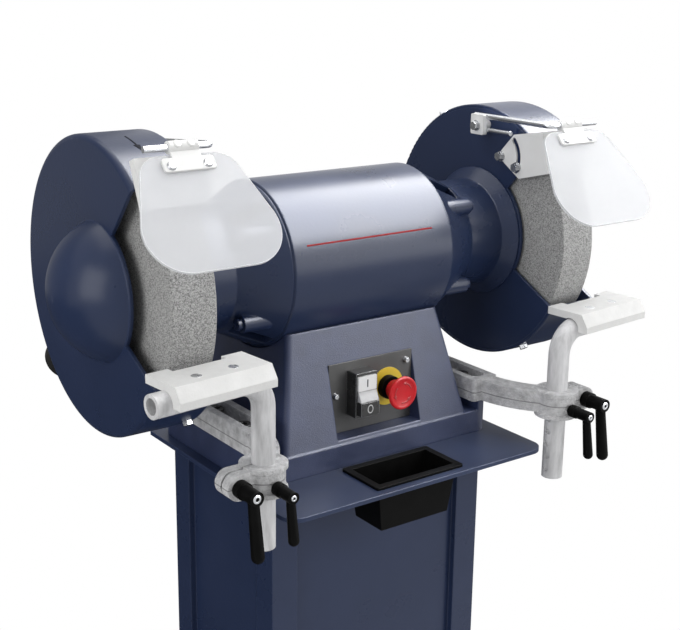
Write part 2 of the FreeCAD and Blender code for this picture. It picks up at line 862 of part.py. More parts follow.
def stator_core():
    half = stator_length/2
    return turned([(-half, stator_bore_radius), (-half, motor_bore), (half, motor_bore),
                   (half, stator_bore_radius)])


def stator_windings():
    start = stator_length/2
    ring = turned([(start, winding_inner_radius), (start, winding_outer_radius),
                   (start + winding_length, winding_outer_radius),
                   (start + winding_length, winding_inner_radius)])
    ring = rounded(ring, winding_edge, lambda edge: edge.BoundBox.XMin > start + winding_length/2)
    return Part.makeCompound(both_sides([ring]))


def end_bell():
    """Right end bell: rim on the sleeve, cone, bearing neck and guard flange."""
    rim_radius = motor_radius - bell_step
    cone_end = motor_end + cone_length
    flange_start = guard_face - flange_lip - (flange_radius - neck_radius)
    shoulder_radius = (shaft_rotor_radius + bearing_radius)/2
    spigot_end = motor_end - bell_spigot
    bell = turned([(spigot_end, rim_radius - 2*bell_wall), (spigot_end, motor_bore),
                   (motor_end, motor_bore),
                   (motor_end, rim_radius), (cone_end, neck_radius), (flange_start, neck_radius),
                   (guard_face - flange_lip, flange_radius), (guard_face, flange_radius),
                   (guard_face, recess_radius), (recess_floor, recess_radius),
                   (recess_floor, bearing_radius),
                   (bearing_inside, bearing_radius), (bearing_inside, shoulder_radius),
                   (bearing_inside - bell_wall, shoulder_radius),
                   (bearing_inside - bell_wall, neck_radius - bell_wall),
                   (cone_end - bell_wall, neck_radius - bell_wall),
                   (motor_end + bell_wall, rim_radius - 2*bell_wall)])
    for angle in (window_angle, 180 - window_angle, 180 + window_angle, -window_angle):
        window = box(motor_end + bell_wall/2, motor_end + bell_wall/2 + window_length,
                     -window_width/2, window_width/2, stator_bore_radius, motor_radius)
        window.rotate(origin, axis_x, 90 - angle)
        bell = bell.cut(window)
    for angle in boss_angles():
        foot = radial(angle, boss_circle_radius, motor_end)
        bell = bell.fuse(rod(foot, foot + axis_x*boss_length, boss_radius))
    for angle in boss_angles():
        start = radial(angle, boss_circle_radius, motor_end - bell_spigot)
        tip = radial(angle, boss_circle_radius, motor_end + boss_length)
        bell = bell.cut(rod(start, tip, bell_bolt_radius))
    for seat in mount_screw_seats():
        bell = bell.cut(rod(seat - axis_x*mount_screw_length, seat, mount_screw_radius))
    return bell.removeSplitter()


def bearings():
    bore = shaft_bearing_radius + running_clearance
    ring = turned([(bearing_inside, bore), (bearing_inside, bearing_radius),
                   (bearing_outside, bearing_radius), (bearing_outside, bore)])
    return Part.makeCompound(both_sides([ring]))



def end_bell_bolts():
    bolts = []
    for angle in boss_angles():
        seat = radial(angle, boss_circle_radius, motor_end + boss_length)
        end = radial(angle, boss_circle_radius, motor_end - bell_spigot - bell_bolt_thread)
        head = rod(seat, seat + axis_x*bell_bolt_head_height, bell_bolt_head_radius)
        bolts.append(head.fuse(rod(end, seat, bell_bolt_radius)).removeSplitter())
    return Part.makeCompound(both_sides(bolts))


# Spindle

def spindle_shaft():
    shoulder = bearing_inside - spindle_float
    right = [(shoulder, shaft_rotor_radius), (shoulder, shaft_bearing_radius),
             (flange_inside, shaft_bearing_radius),
             (flange_inside, shaft_wheel_radius), (spindle_end, shaft_wheel_radius), (spindle_end, 0)]
    left = [(-x, radius) for x, radius in reversed(right)]
    return turned(left + right)


def rotor_core():
    half = stator_length/2
    outside = stator_bore_radius - air_gap
    return turned([(-half, shaft_rotor_radius), (-half, outside), (half, outside),
                   (half, shaft_rotor_radius)])


def wheel():
    return turned([(wheel_inside, shaft_wheel_radius), (wheel_inside, wheel_radius - wheel_edge),
                   (wheel_inside + wheel_edge, wheel_radius), (wheel_outside - wheel_edge, wheel_radius),
                   (wheel_outside, wheel_radius - wheel_edge), (wheel_outside, shaft_wheel_radius)])


def wheel_flanges():
    inner = turned([(flange_inside, shaft_wheel_radius), (flange_inside, wheel_flange_radius),
                    (wheel_inside, wheel_flange_radius), (wheel_inside, shaft_wheel_radius)])
    outer = turned([(wheel_outside, shaft_wheel_radius), (wheel_outside, wheel_flange_radius),
                    (flange_outside, wheel_flange_radius - wheel_flange_outer/2),
                    (flange_outside, shaft_wheel_radius)])
    return Part.makeCompound(both_sides([inner, outer]))


def spindle_nuts():
    start = point(flange_outside, 0, 0)
    end = point(nut_outside, 0, 0)
    nut = hexagon_bar(start, end, nut_across_flats).cut(rod(start, end, shaft_wheel_radius))
    return Part.makeCompound(both_sides([nut]))


# Guards

def guard_notch(kept_forward, kept_radius):
    """Opening at the front of the guard, between two angles and outside a round part that is kept."""
    reach = 2*guard_radius
    far_top = radial(notch_top_angle, reach, 0)
    far_bottom = radial(-notch_bottom_angle, reach, 0)
    start = guard_face - guard_wall
    end = shell_face + guard_wall
    wedge = prism_x([(0, 0), (far_top.y, far_top.z), (far_bottom.y, far_bottom.z)], start, end)
    return wedge.cut(rod(point(start, -kept_forward, 0), point(end, -kept_forward, 0), kept_radius))


def mount_screw_seats():
    return [radial(mount_screw_angle + 90*screw, mount_screw_circle, guard_face) for screw in range(4)]


def mount_screw(seat):
    """Countersunk screw through the guard plate into the bell's flange."""
    face = seat + axis_x*guard_plate_thickness
    throat = face - axis_x*(mount_screw_head_radius - mount_screw_radius)
    return cone(throat, face, mount_screw_radius, mount_screw_head_radius).fuse(
        rod(seat - axis_x*mount_screw_length, throat, mount_screw_radius)).removeSplitter()


def guard_plate():
    centre = point(guard_face, 0, 0)
    inside = point(plate_inside, 0, 0)
    bore_end = point(shell_inside, 0, 0)
    plate = rod(centre, inside, guard_bore)
    for angle in rim_bolt_angles:
        tab = box(guard_face, guard_face + rim_tab_length, -rim_tab_width/2, rim_tab_width/2,
                  guard_bore - rim_tab_thickness, guard_radius)
        tab.rotate(origin, axis_x, 90 + angle)
        plate = plate.fuse(tab.common(rod(centre, bore_end, guard_bore)))
        plate = plate.cut(rim_bolt_shank(angle))
    plate = plate.cut(rod(centre, inside, guard_plate_hole_radius))
    plate = plate.cut(guard_notch(0, notch_inner_radius))
    for seat in mount_screw_seats():
        plate = plate.cut(mount_screw(seat))
    for bolt in guard_side_bolts():
        plate = plate.cut(bolt)
    return plate.removeSplitter()


def rim_bolt_shank(angle):
    x = guard_face + rim_bolt_inset
    return rod(radial(-angle, guard_bore - 2*rim_tab_thickness/3, x), radial(-angle, guard_radius, x),
               rim_bolt_radius)


def dome(x, radius, height):
    """Cap of a ball that bulges outward from a level along the spindle, in front of the spindle."""
    ball_radius = (radius**2 + height**2)/(2*height)
    foot = point(x, -dome_forward, 0)
    crown = foot + axis_x*height
    ball = Part.makeSphere(ball_radius, crown - axis_x*ball_radius, axis_x)
    return ball.common(rod(foot, crown, 2*ball_radius))


def spigot_point(radius):
    return radial(180 + spigot_angle, radius, (guard_face + shell_face)/2)


def guard_shell():
    shell = turned([(guard_face, guard_bore), (guard_face, guard_radius), (shell_face, guard_radius),
                    (shell_face, 0), (shell_inside, 0), (shell_inside, guard_bore)])
    shell = rounded(shell, guard_edge_radius, lambda edge: edge.BoundBox.XMin > shell_face - 0.1
                    and edge.BoundBox.ZMax > guard_bore)
    shell = rounded(shell, guard_inner_edge, lambda edge: edge.BoundBox.XMax < guard_face + 0.1
                    and edge.BoundBox.ZMax > guard_radius - 0.1)
    shell = shell.fuse(dome(shell_face, dome_radius, dome_height))
    shell = shell.cut(dome(shell_inside, dome_radius - guard_wall, dome_height))
    spigot_end = spigot_point(guard_radius + spigot_length)
    spigot = rod(spigot_point(wheel_radius), spigot_end, spigot_radius)
    spigot = spigot.cut(rod(point(guard_face, 0, 0), point(shell_inside, 0, 0), guard_bore))
    shell = shell.fuse(spigot)
    shell = shell.cut(rod(spigot_point(wheel_radius), spigot_end, spigot_radius - spigot_wall))
    shell = shell.cut(guard_notch(dome_forward, dome_radius + dome_margin))
    for angle in rim_bolt_angles:
        shell = shell.cut(rim_bolt_shank(angle))
    return shell.removeSplitter()


def guard_screws():
    screws = [mount_screw(seat) for seat in mount_screw_seats()]
    x = guard_face + rim_bolt_inset
    for angle in rim_bolt_angles:
        seat = radial(-angle, guard_radius, x)
        tip = radial(-angle, guard_radius + rim_bolt_head_height, x)
        head = hexagon_bar(seat, tip, rim_bolt_head_radius*math.sqrt(3))
        screws.append(head.fuse(rim_bolt_shank(angle)).removeSplitter())
    return Part.makeCompound(both_sides(screws))


def dust_caps():
    mouth = spigot_point(guard_radius + spigot_length - cap_overlap)
    spigot_end = spigot_point(guard_radius + spigot_length)
    tip = spigot_point(guard_radius + spigot_length + cap_end)
    cap = rod(mouth, tip, spigot_radius + cap_wall)
    cap = rounded(cap, cap_wall, lambda edge: edge.CenterOfMass.distanceToPoint(tip) < cap_wall)
    cap = cap.cut(rod(mouth, spigot_end, spigot_radius))
    return Part.makeCompound(both_sides([cap]))


# Spark deflectors

def deflector_point(angle, radius, x):
    """Point round the deflector's pivot; the angle climbs from the front horizontal."""
    return radial(angle, radius, x) + point(0, deflector_y, deflector_z)


def slot_screw_point(x):
    return deflector_point(-slot_screw_angle, slot_radius, x)


def deflector_slot():
    """Curved slot about the pivot, round at both ends."""
    inner = slot_radius - slot_width/2
    outer = slot_radius + slot_width/2
    low = -slot_screw_angle - slot_lower_margin
    start = deflector_outside - deflector_sheet
    section = Part.Face(Part.makePolygon([deflector_point(low, inner, start),
                                          deflector_point(low, outer, start),
                                          deflector_point(low, outer, guard_face),
                                          deflector_point(low, inner, guard_face),
                                          deflector_point(low, inner, start)]))
    pivot = point(0, deflector_y, deflector_z)
    slot = section.revolve(pivot, -axis_x, slot_upper_angle - low)
    for angle in (low, slot_upper_angle):
        slot = slot.fuse(rod(deflector_point(angle, slot_radius, start),
                             deflector_point(angle, slot_radius, guard_face), slot_width/2))
    return slot


def spark_deflector(turn):
    top = (deflector_y - deflector_top_reach, deflector_z + deflector_top_rise)
    bottom = (deflector_y - deflector_bottom_reach, deflector_z - deflector_bottom_drop)
    outline = [(deflector_y + deflector_tip, deflector_z),
               (deflector_y - deflector_shoulder_back,
                deflector_z + deflector_shoulder_rise), top, bottom,
               (deflector_y - deflector_heel_reach, deflector_z - deflector_heel_drop)]
    side = prism_x(outline, deflector_outside, deflector_inside)
    along = point(0, bottom[0] - top[0], bottom[1] - top[1]).normalize()
    inward = axis_x.cross(along)
    end = shell_face - deflector_edge_inset

    def strip(depth):
        return [(top[0], top[1]), bottom, (bottom[0] + depth*inward.y, bottom[1] + depth*inward.z),
                (top[0] + depth*inward.y, top[1] + depth*inward.z)]

    front = prism_x(strip(deflector_sheet), deflector_outside, end)
    fold = prism_x(strip(deflector_return), end - deflector_sheet, end)
    plate = side.fuse(front).fuse(fold).cut(deflector_slot())
    hole = rod(deflector_point(0, 0, deflector_outside), deflector_point(0, 0, deflector_inside),
               side_screw_radius + running_clearance)
    plate = plate.cut(hole).removeSplitter()
    plate.rotate(deflector_point(0, 0, 0), axis_x, -turn)
    return plate


def side_bolt(seat_x, y, z):
    """Bolt with a washer, from the motor side into the guard plate."""
    washer_x = seat_x - side_screw_washer
    head_x = washer_x - side_screw_head_height
    bolt = rod(point(washer_x, y, z), point(seat_x, y, z), side_screw_washer_radius)
    bolt = bolt.fuse(hexagon_bar(point(head_x, y, z), point(washer_x, y, z),
                                 side_screw_head_radius*math.sqrt(3)))
    return bolt.fuse(rod(point(seat_x, y, z), point(plate_inside, y, z),
                         side_screw_radius)).removeSplitter()


def guard_side_bolts():
    """Pivot and slot bolts of the deflector and the pivot bolt of the shield arm."""
    slot = slot_screw_point(0)
    return [side_bolt(deflector_outside, deflector_y, deflector_z),
            side_bolt(deflector_outside, slot.y, slot.z),
            side_bolt(shield_plate_inside - shield_plate_thickness, -shield_pivot_forward,
                      shield_pivot_z)]


def guard_side_screws():
    return Part.makeCompound(both_sides(guard_side_bolts()))


# Eye shields

def raised(solid, turn):
    """Shield arm piece turned about its pivot bolt, front end up."""
    solid.rotate(point(0, -shield_pivot_forward, shield_pivot_z), axis_x, -turn)
    return solid


def hung(solid, forward, turn):
    """Shield piece swung from hanging straight down to its set angle, then turned with its arm."""
    solid.rotate(point(0, -shield_pivot_forward - forward, hinge_z), axis_x, turn - shield_tilt)
    return raised(solid, turn)


def shield_rod_list(forward):
    hinge_y = -shield_pivot_forward - forward
    bend_y = hinge_y + rod_bend_radius
    straight = rod(point(rod_x, hinge_y + rod_length, hinge_z), point(rod_x, bend_y, hinge_z), rod_radius)
    section = Part.Face(Part.Wire(Part.makeCircle(rod_radius, point(rod_x, bend_y, hinge_z), axis_y)))
    bend = section.revolve(point(rod_x + rod_bend_radius, bend_y, hinge_z), axis_z, 90)
    run = rod(point(rod_x + rod_bend_radius, hinge_y, hinge_z),
              point(guard_face + rod_end, hinge_y, hinge_z),
              rod_radius)
    low_z = shield_pivot_z - low_rod_drop
    back = -shield_pivot_forward - side_screw_washer_radius - low_rod_gap
    low_front = -shield_pivot_forward - low_rod_forward - low_rod_radius
    lower = rod(point(rod_x, back, low_z), point(rod_x, low_front, low_z), low_rod_radius)
    return [straight.fuse(bend).fuse(run).removeSplitter(), lower]


def shield_rods(forward, turn):
    return raised(Part.makeCompound(shield_rod_list(forward)), turn)


def shield_block(forward, turn):
    outside = shield_plate_inside - shield_plate_thickness
    back = shield_block_back - shield_pivot_forward
    front = -shield_pivot_forward - shield_block_front
    block = box(outside, shield_plate_inside, front, back,
                shield_pivot_z - shield_block_down, shield_pivot_z + shield_block_up)
    block = rounded(block, 2.0, lambda edge: runs_along(edge, axis_x))
    plate_middle = point(outside, -shield_pivot_forward, shield_pivot_z)
    guard_middle = point(guard_face, -shield_pivot_forward, shield_pivot_z)
    seat = point(shield_plate_inside, -shield_pivot_forward, shield_pivot_z)
    block = block.fuse(rod(seat, guard_middle, shield_collar_radius))
    block = block.cut(rod(plate_middle, guard_middle, side_screw_radius + running_clearance))
    for piece in shield_rod_list(forward):
        block = block.cut(piece)
    return raised(block.removeSplitter(), turn)


def bracket_screw_points(centre, y):
    z = hinge_z - bracket_screw_drop
    return [point(centre + side*bracket_screw_spacing/2, y, z) for side in (-1, 1)]


def shield_bracket(centre, forward, turn):
    hinge_y = -shield_pivot_forward - forward
    barrel_radius = rod_radius + hinge_clearance + hinge_wall
    start = point(centre - hinge_width/2, hinge_y, hinge_z)
    end = point(centre + hinge_width/2, hinge_y, hinge_z)
    front = hinge_y - bracket_sheet
    neck = box(start.x, end.x, front, hinge_y, hinge_z - bracket_height, hinge_z)
    plate = box(centre - bracket_width/2, centre + bracket_width/2, front, hinge_y,
                hinge_z - bracket_height, hinge_z - bracket_neck)
    plate = rounded(plate, 3.0, lambda edge: runs_along(edge, axis_y))
    bracket = rod(start, end, barrel_radius).fuse(neck).fuse(plate)
    bracket = bracket.cut(rod(start, end, rod_radius + hinge_clearance))
    for place in bracket_screw_points(centre, front):
        bracket = bracket.cut(rod(place, place + axis_y*bracket_sheet, bracket_screw_radius))
    return hung(bracket.removeSplitter(), forward, turn)


def eye_shield(centre, forward, turn):
    front = -shield_pivot_forward - forward
    top = hinge_z - shield_top_gap
    bottom = top - shield_height
    corners = [(-shield_top_width/2, top), (shield_top_width/2, top),
               (shield_bottom_width/2, bottom), (-shield_bottom_width/2, bottom)]
    pane = prism([point(centre + x, front, z) for x, z in corners], axis_y*shield_thickness)
    middle = (top + bottom)/2
    pane = rounded(pane, shield_top_radius,
                   lambda edge: runs_along(edge, axis_y) and edge.Vertexes[0].Z > middle)
    pane = rounded(pane, shield_bottom_radius,
                   lambda edge: runs_along(edge, axis_y) and edge.Vertexes[0].Z < bottom + 1)
    for place in bracket_screw_points(centre, front):
        pane = pane.cut(rod(place, place + axis_y*shield_thickness, bracket_screw_radius))
    return hung(pane, forward, turn)


def shield_screws(centre, forward, turn):
    screws = []
    for place in bracket_screw_points(centre, -shield_pivot_forward - forward - bracket_sheet):
        back = place + axis_y*(bracket_sheet + shield_thickness)
        nut_back = back + axis_y*bracket_nut_height
        head = cone(place - axis_y*bracket_screw_head_height, place, bracket_screw_head_radius*0.7,
                    bracket_screw_head_radius)
        nut = hexagon_bar(back, nut_back, bracket_screw_head_radius*math.sqrt(3))
        screw = head.fuse(rod(place, nut_back, bracket_screw_radius)).fuse(nut)
        screws.append(screw.removeSplitter())
    return hung(Part.makeCompound(screws), forward, turn)


# Work rests

def long_slot(x, front, back, radius, bottom, top):
    """Round-ended slot along Y between two end centres."""
    slot = box(x - radius, x + radius, front, back, bottom, top)
    for y in (front, back):
        slot = slot.fuse(rod(point(x, y, bottom), point(x, y, top), radius))
    return slot


def rest_arm(boss_forward):
    boss_y = -boss_forward
    front = boss_y + arm_reach
    back = front + arm_block_length
    arm = box(arm_middle - arm_block_width/2, arm_middle + arm_block_width/2, front, back, block_bottom,
              block_top)
    arm = rounded(arm, 4.0, climbs)

    # Curved bar from the block to the boss, bent about an upright axis
    start_x = arm_middle + arm_bar_inset
    start_y = front + arm_bar_start
    across = boss_x - start_x
    forward = start_y - boss_y
    bend = (across**2 + forward**2)/(2*across)
    sweep = math.degrees(math.atan2(forward, bend - across))
    corners = [point(start_x - arm_bar_width/2, start_y, block_bottom),
               point(start_x + arm_bar_width/2, start_y, block_bottom),
               point(start_x + arm_bar_width/2, start_y, block_bottom + arm_bar_height),
               point(start_x - arm_bar_width/2, start_y, block_bottom + arm_bar_height)]
    section = Part.Face(Part.makePolygon(corners + [corners[0]]))
    arm = arm.fuse(section.revolve(point(start_x + bend, start_y, 0), axis_z, sweep))

    # Boss with a ring at each end and the split clamp ears
    bottom = point(boss_x, boss_y, boss_bottom)
    top = point(boss_x, boss_y, boss_top)
    arm = arm.fuse(rod(bottom, top, rest_boss_radius))
    arm = arm.fuse(rod(bottom, bottom + axis_z*rest_boss_ring_height, rest_boss_ring_radius))
    arm = arm.fuse(rod(top - axis_z*rest_boss_ring_height, top, rest_boss_ring_radius))
    ear_x = boss_x + ear_reach
    ear_front = boss_y - ear_thickness/2
    ear_back = boss_y + ear_thickness/2
    arm = arm.fuse(box(boss_x, ear_x, ear_front, ear_back, boss_middle - ear_radius,
                       boss_middle + ear_radius))
    arm = arm.fuse(rod(point(ear_x, ear_front, boss_middle), point(ear_x, ear_back, boss_middle),
                       ear_radius))
    arm = arm.cut(rod(bottom, top, post_radius + post_clearance))
    arm = arm.cut(box(boss_x, ear_x + 2*ear_radius, boss_y - ear_split/2, boss_y + ear_split/2,
                      boss_bottom, boss_top))

    # Slots for the arm bolts and holes for the lever studs
    slot_front = front + arm_slot_inset + arm_slot_width/2
    slot_back = slot_front + arm_slot_length - arm_slot_width
    arm = arm.cut(long_slot(arm_middle, slot_front, slot_back, arm_slot_width/2, block_bottom,
                            head_slot_floor))
    arm = arm.cut(long_slot(arm_middle, slot_front, slot_back, arm_head_slot_width/2, head_slot_floor,
                            block_top))
    hole = lever_stud_radius + stud_clearance
    arm = arm.cut(rod(point(ear_x, ear_front, boss_middle), point(ear_x, ear_back, boss_middle), hole))
    lock_z = boss_top - lock_stud_drop
    arm = arm.cut(rod(point(boss_x, boss_y - 2*rest_boss_radius, lock_z), point(boss_x, boss_y, lock_z),
                      hole))
    return arm.removeSplitter()


def bent_tube(boss_y, tube_z, radius):
    """Upright bar that bends over to a level bar pointing outward."""
    bend_z = tube_z - post_bend_radius
    upright = rod(point(boss_x, boss_y, tube_z - post_drop), point(boss_x, boss_y, bend_z), radius)
    section = Part.Face(Part.Wire(Part.makeCircle(radius, point(boss_x, boss_y, bend_z), axis_z)))
    bend = section.revolve(point(boss_x + post_bend_radius, boss_y, bend_z), axis_y, 90)
    level = rod(point(boss_x + post_bend_radius, boss_y, tube_z),
                point(boss_x + post_tube_length, boss_y, tube_z), radius)
    return upright.fuse(bend).fuse(level)


def swivelled(solid, boss_y, swivel):
    solid.rotate(point(boss_x, boss_y, 0), axis_z, swivel)
    return solid


def table_screw_list(boss_y, table_top, shift):
    screws = []
    for side in (-1, 1):
        top = point(boss_x + shift + side*table_screw_spacing/2, boss_y, table_top)
        seat = top - axis_z*table_screw_head_height
        head = cone(seat, top, table_screw_radius, table_screw_head_radius)
        screws.append(head.fuse(rod(top - axis_z*table_screw_length, seat,
                                    table_screw_radius)).removeSplitter())
    return screws


def rest_post(boss_forward, drop, shift, swivel):
    boss_y = -boss_forward
    tube_z = -drop - tube_drop
    post = bent_tube(boss_y, tube_z, post_radius).cut(bent_tube(boss_y, tube_z, post_bore_radius))
    for detent in range(detent_count):
        z = tube_z - post_drop + detent_first + detent*detent_pitch
        surface = point(boss_x - post_radius, boss_y, z)
        post = post.cut(rod(surface - axis_x*detent_depth, surface + axis_x*detent_depth, detent_radius))
    for screw in table_screw_list(boss_y, -drop, shift):
        post = post.cut(screw)
    return swivelled(post.removeSplitter(), boss_y, swivel)


def rest_table(boss_forward, drop, shift, swivel):
    boss_y = -boss_forward
    top = -drop
    middle = boss_x + shift
    back = boss_y + table_behind_tube
    front = back - table_depth
    lip = front - table_chamfer_out
    outline = [(back, top), (back, top - table_thickness), (boss_y, top - table_thickness),
               (boss_y, top - table_skirt_drop), (lip, top - table_skirt_drop),
               (lip, top - table_chamfer_drop),
               (front, top)]
    table = prism_x(outline, middle - table_width/2, middle + table_width/2)
    tube_z = top - tube_drop
    table = table.cut(rod(point(middle - table_width, boss_y, tube_z),
                          point(middle + table_width, boss_y, tube_z),
                          post_radius))
    table = table.cut(box(middle - table_notch_width/2, middle + table_notch_width/2,
                          back - table_notch_depth, back, top - table_thickness, top))
    for screw in table_screw_list(boss_y, top, shift):
        table = table.cut(screw)
    return swivelled(table.removeSplitter(), boss_y, swivel)


def table_screws(boss_forward, drop, shift, swivel):
    screws = table_screw_list(-boss_forward, -drop, shift)
    return swivelled(Part.makeCompound(screws), -boss_forward, swivel)


def arm_bolts():
    bolts = []
    for x, y in arm_bolt_places():
        seat = point(x, y, head_slot_floor)
        top = seat + axis_z*arm_bolt_head_height
        head = rod(seat, top, arm_bolt_head_radius)
        socket = hexagon_bar(top - axis_z*arm_bolt_head_height*0.5, top, arm_bolt_radius*1.5)
        shank = rod(point(x, y, block_bottom - arm_bolt_thread), seat, arm_bolt_radius)
        bolts.append(head.cut(socket).fuse(shank).removeSplitter())
    return Part.makeCompound(bolts)


# Levers

def lever(seat, hub_length, hub_radius, collar_length, collar_radius, handle_length, handle_radius,
          stud_end):
    """Lever on a stud along Y, its handle hanging from the front of the hub."""
    collar_front = seat - axis_y*collar_length
    hub_front = seat - axis_y*hub_length
    piece = rod(seat, collar_front, collar_radius).fuse(rod(collar_front, hub_front, hub_radius))
    lean = math.radians(handle_lean)
    root = hub_front + axis_y*hub_radius
    tip = root + point(0, -math.sin(lean), -math.cos(lean))*handle_length
    piece = piece.fuse(cone(root, tip, handle_radius - handle_taper, handle_radius))
    piece = piece.fuse(Part.makeSphere(handle_radius, tip))
    stud = rod(seat, point(seat.x, stud_end, seat.z), lever_stud_radius)
    return piece.fuse(stud).removeSplitter()


def clamp_lever(boss_forward):
    boss_y = -boss_forward
    seat = point(boss_x + ear_reach, boss_y - ear_thickness/2 - lever_gap, boss_middle)
    return lever(seat, clamp_hub_length, clamp_hub_radius, clamp_collar_length, clamp_collar_radius,
                 clamp_handle_length, clamp_handle_radius, boss_y + ear_thickness/2)


def lock_lever(boss_forward):
    boss_y = -boss_forward
    seat = point(boss_x, boss_y - rest_boss_ring_radius - lever_gap, boss_top - lock_stud_drop)
    return lever(seat, lock_hub_length, lock_hub_radius, lock_collar_length, lock_collar_radius,
                 lock_handle_length, lock_handle_radius, boss_y - post_radius - stud_tip_gap)


# Every node, by name

left_rest = (left_boss_forward, left_table_drop, left_table_shift, left_swivel)
right_rest = (right_boss_forward, right_table_drop, right_table_shift, right_swivel)
left_arm = (left_rod_forward, left_shield_turn)
right_arm = (right_rod_forward, right_shield_turn)
left_pane = (guard_face + left_bracket_outset, left_rod_forward, left_shield_turn)
right_pane = (guard_face + right_bracket_outset, right_rod_forward, right_shield_turn)

stand_nodes = {
    "stand_base_plate": stand_base_plate(),
    "stand_column": stand_column(),
    "tray_plate": tray_plate(),
    "water_pot": water_pot(),
    "stand_bolts": stand_bolts(),
}

head_nodes = {
    "base_casting": base_casting(),
    "switch_plate": switch_plate(),
    "switch_plate_screws": switch_plate_screws(),
    "switch_housing": switch_housing(),
    "start_button": start_button(),
    "stop_button": stop_button(),
    "estop_collar": estop_collar(),
    "estop_ring": estop_ring(),
    "estop_head": estop_head(),
    "cable_gland": cable_gland(),
    "motor_housing": motor_housing(),
    "stator_core": stator_core(),
    "stator_windings": stator_windings(),
    "bearings": bearings(),
    "end_bell_bolts": end_bell_bolts(),
    "spindle_shaft": spindle_shaft(),
    "rotor_core": rotor_core(),
    "wheel_flanges": wheel_flanges(),
    "spindle_nuts": spindle_nuts(),
    "guard_screws": guard_screws(),
    "dust_caps": dust_caps(),
    "guard_side_screws": guard_side_screws(),
    "arm_bolts": arm_bolts(),
    "left_spark_deflector": mirrored(spark_deflector(left_deflector_turn)),
    "right_spark_deflector": spark_deflector(right_deflector_turn),
    "left_shield_block": mirrored(shield_block(*left_arm)),
    "right_shield_block": shield_block(*right_arm),
    "left_shield_rods": mirrored(shield_rods(*left_arm)),
    "right_shield_rods": shield_rods(*right_arm),
    "left_shield_bracket": mirrored(shield_bracket(*left_pane)),
    "right_shield_bracket": shield_bracket(*right_pane),
    "left_eye_shield": mirrored(eye_shield(*left_pane)),
    "right_eye_shield": eye_shield(*right_pane),
    "left_shield_screws": mirrored(shield_screws(*left_pane)),
    "right_shield_screws": shield_screws(*right_pane),
    "left_rest_arm": mirrored(rest_arm(left_boss_forward)),
    "right_rest_arm": rest_arm(right_boss_forward),
    "left_rest_post": mirrored(rest_post(*left_rest)),
    "right_rest_post": rest_post(*right_rest),
    "left_rest_table": mirrored(rest_table(*left_rest)),
    "right_rest_table": rest_table(*right_rest),
    "left_table_screws": mirrored(table_screws(*left_rest)),
    "right_table_screws": table_screws(*right_rest),
    "left_clamp_lever": mirrored(clamp_lever(left_boss_forward)),
    "right_clamp_lever": clamp_lever(right_boss_forward),
    "left_lock_lever": mirrored(lock_lever(left_boss_forward)),
    "right_lock_lever": lock_lever(right_boss_forward),
}

same_both_sides = {
    "end_bell": end_bell(),
    "wheel": wheel(),
    "guard_plate": guard_plate(),
    "guard_shell": guard_shell(),
}
for name, solid in same_both_sides.items():
    head_nodes["left_" + name] = mirrored(solid)
    head_nodes["right_" + name] = solid

os.makedirs("parts", exist_ok=True)
for name, solid in stand_nodes.items():
    solid.exportStep("parts/" + name + ".step")
for name, solid in head_nodes.items():
    lifted(solid).exportStep("parts/" + name + ".step")
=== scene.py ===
"""Finishes, small parts and studio of a pedestal bench grinder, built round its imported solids."""
import json
import math

import bmesh
import bpy
import numpy as np
from mathutils import Matrix, Vector


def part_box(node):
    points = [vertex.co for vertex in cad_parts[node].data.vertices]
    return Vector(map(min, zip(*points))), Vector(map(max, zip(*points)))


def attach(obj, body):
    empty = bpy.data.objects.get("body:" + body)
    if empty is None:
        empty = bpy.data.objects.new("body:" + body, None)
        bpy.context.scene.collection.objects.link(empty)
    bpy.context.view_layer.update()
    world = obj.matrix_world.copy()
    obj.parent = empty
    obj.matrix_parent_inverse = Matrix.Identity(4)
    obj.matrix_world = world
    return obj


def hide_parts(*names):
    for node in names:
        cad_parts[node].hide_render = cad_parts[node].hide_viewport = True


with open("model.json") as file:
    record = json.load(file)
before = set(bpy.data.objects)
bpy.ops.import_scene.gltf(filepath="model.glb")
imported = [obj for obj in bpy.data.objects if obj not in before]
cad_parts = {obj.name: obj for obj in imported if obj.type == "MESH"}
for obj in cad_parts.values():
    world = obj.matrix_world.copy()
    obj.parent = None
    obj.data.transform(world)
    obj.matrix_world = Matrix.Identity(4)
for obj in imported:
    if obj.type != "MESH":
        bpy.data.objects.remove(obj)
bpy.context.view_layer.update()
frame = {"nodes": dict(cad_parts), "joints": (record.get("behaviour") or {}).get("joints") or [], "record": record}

bl_info = {
    "name": "Pedestal Bench Grinder",
    "version": (1, 0, 0),
    "blender": (4, 5, 0),
    "location": "View3D > Sidebar > Grinder",
    "description": "Paint, castings, stones, switch marks and studio of a pedestal bench grinder",
    "category": "Object",
}

NODE_SLOTS = {row["node"]: row["material_slot"] for row in frame["record"]["subparts"]}
JOINTS = {row["name"]: row for row in frame["joints"]}
SPINDLE_HEIGHT = JOINTS["spindle_spin"]["pos_m"][2]
SIDES = ("left", "right")
MM = 0.001
FORWARD = np.array((0.0, -1.0, 0.0))
# Solids whose coat is not the common one of their slot.
OWN_COATS = {"switch_housing": "switch_shell", "stop_button": "switch_shell"}
# Lamps: name, place, width, height and the property that holds the power. All face the same point.
LAMP_AIM = Vector((0.0, -0.05, 0.98))
LAMPS = (
    ("top lamp", (0.1, 0.15, 2.45), 2.0, 1.5, "top_power"),
    ("front lamp", (1.45, -1.85, 1.45), 1.3, 1.5, "front_power"),
    ("side lamp", (-2.0, -0.55, 1.55), 1.2, 1.4, "side_power"),
)
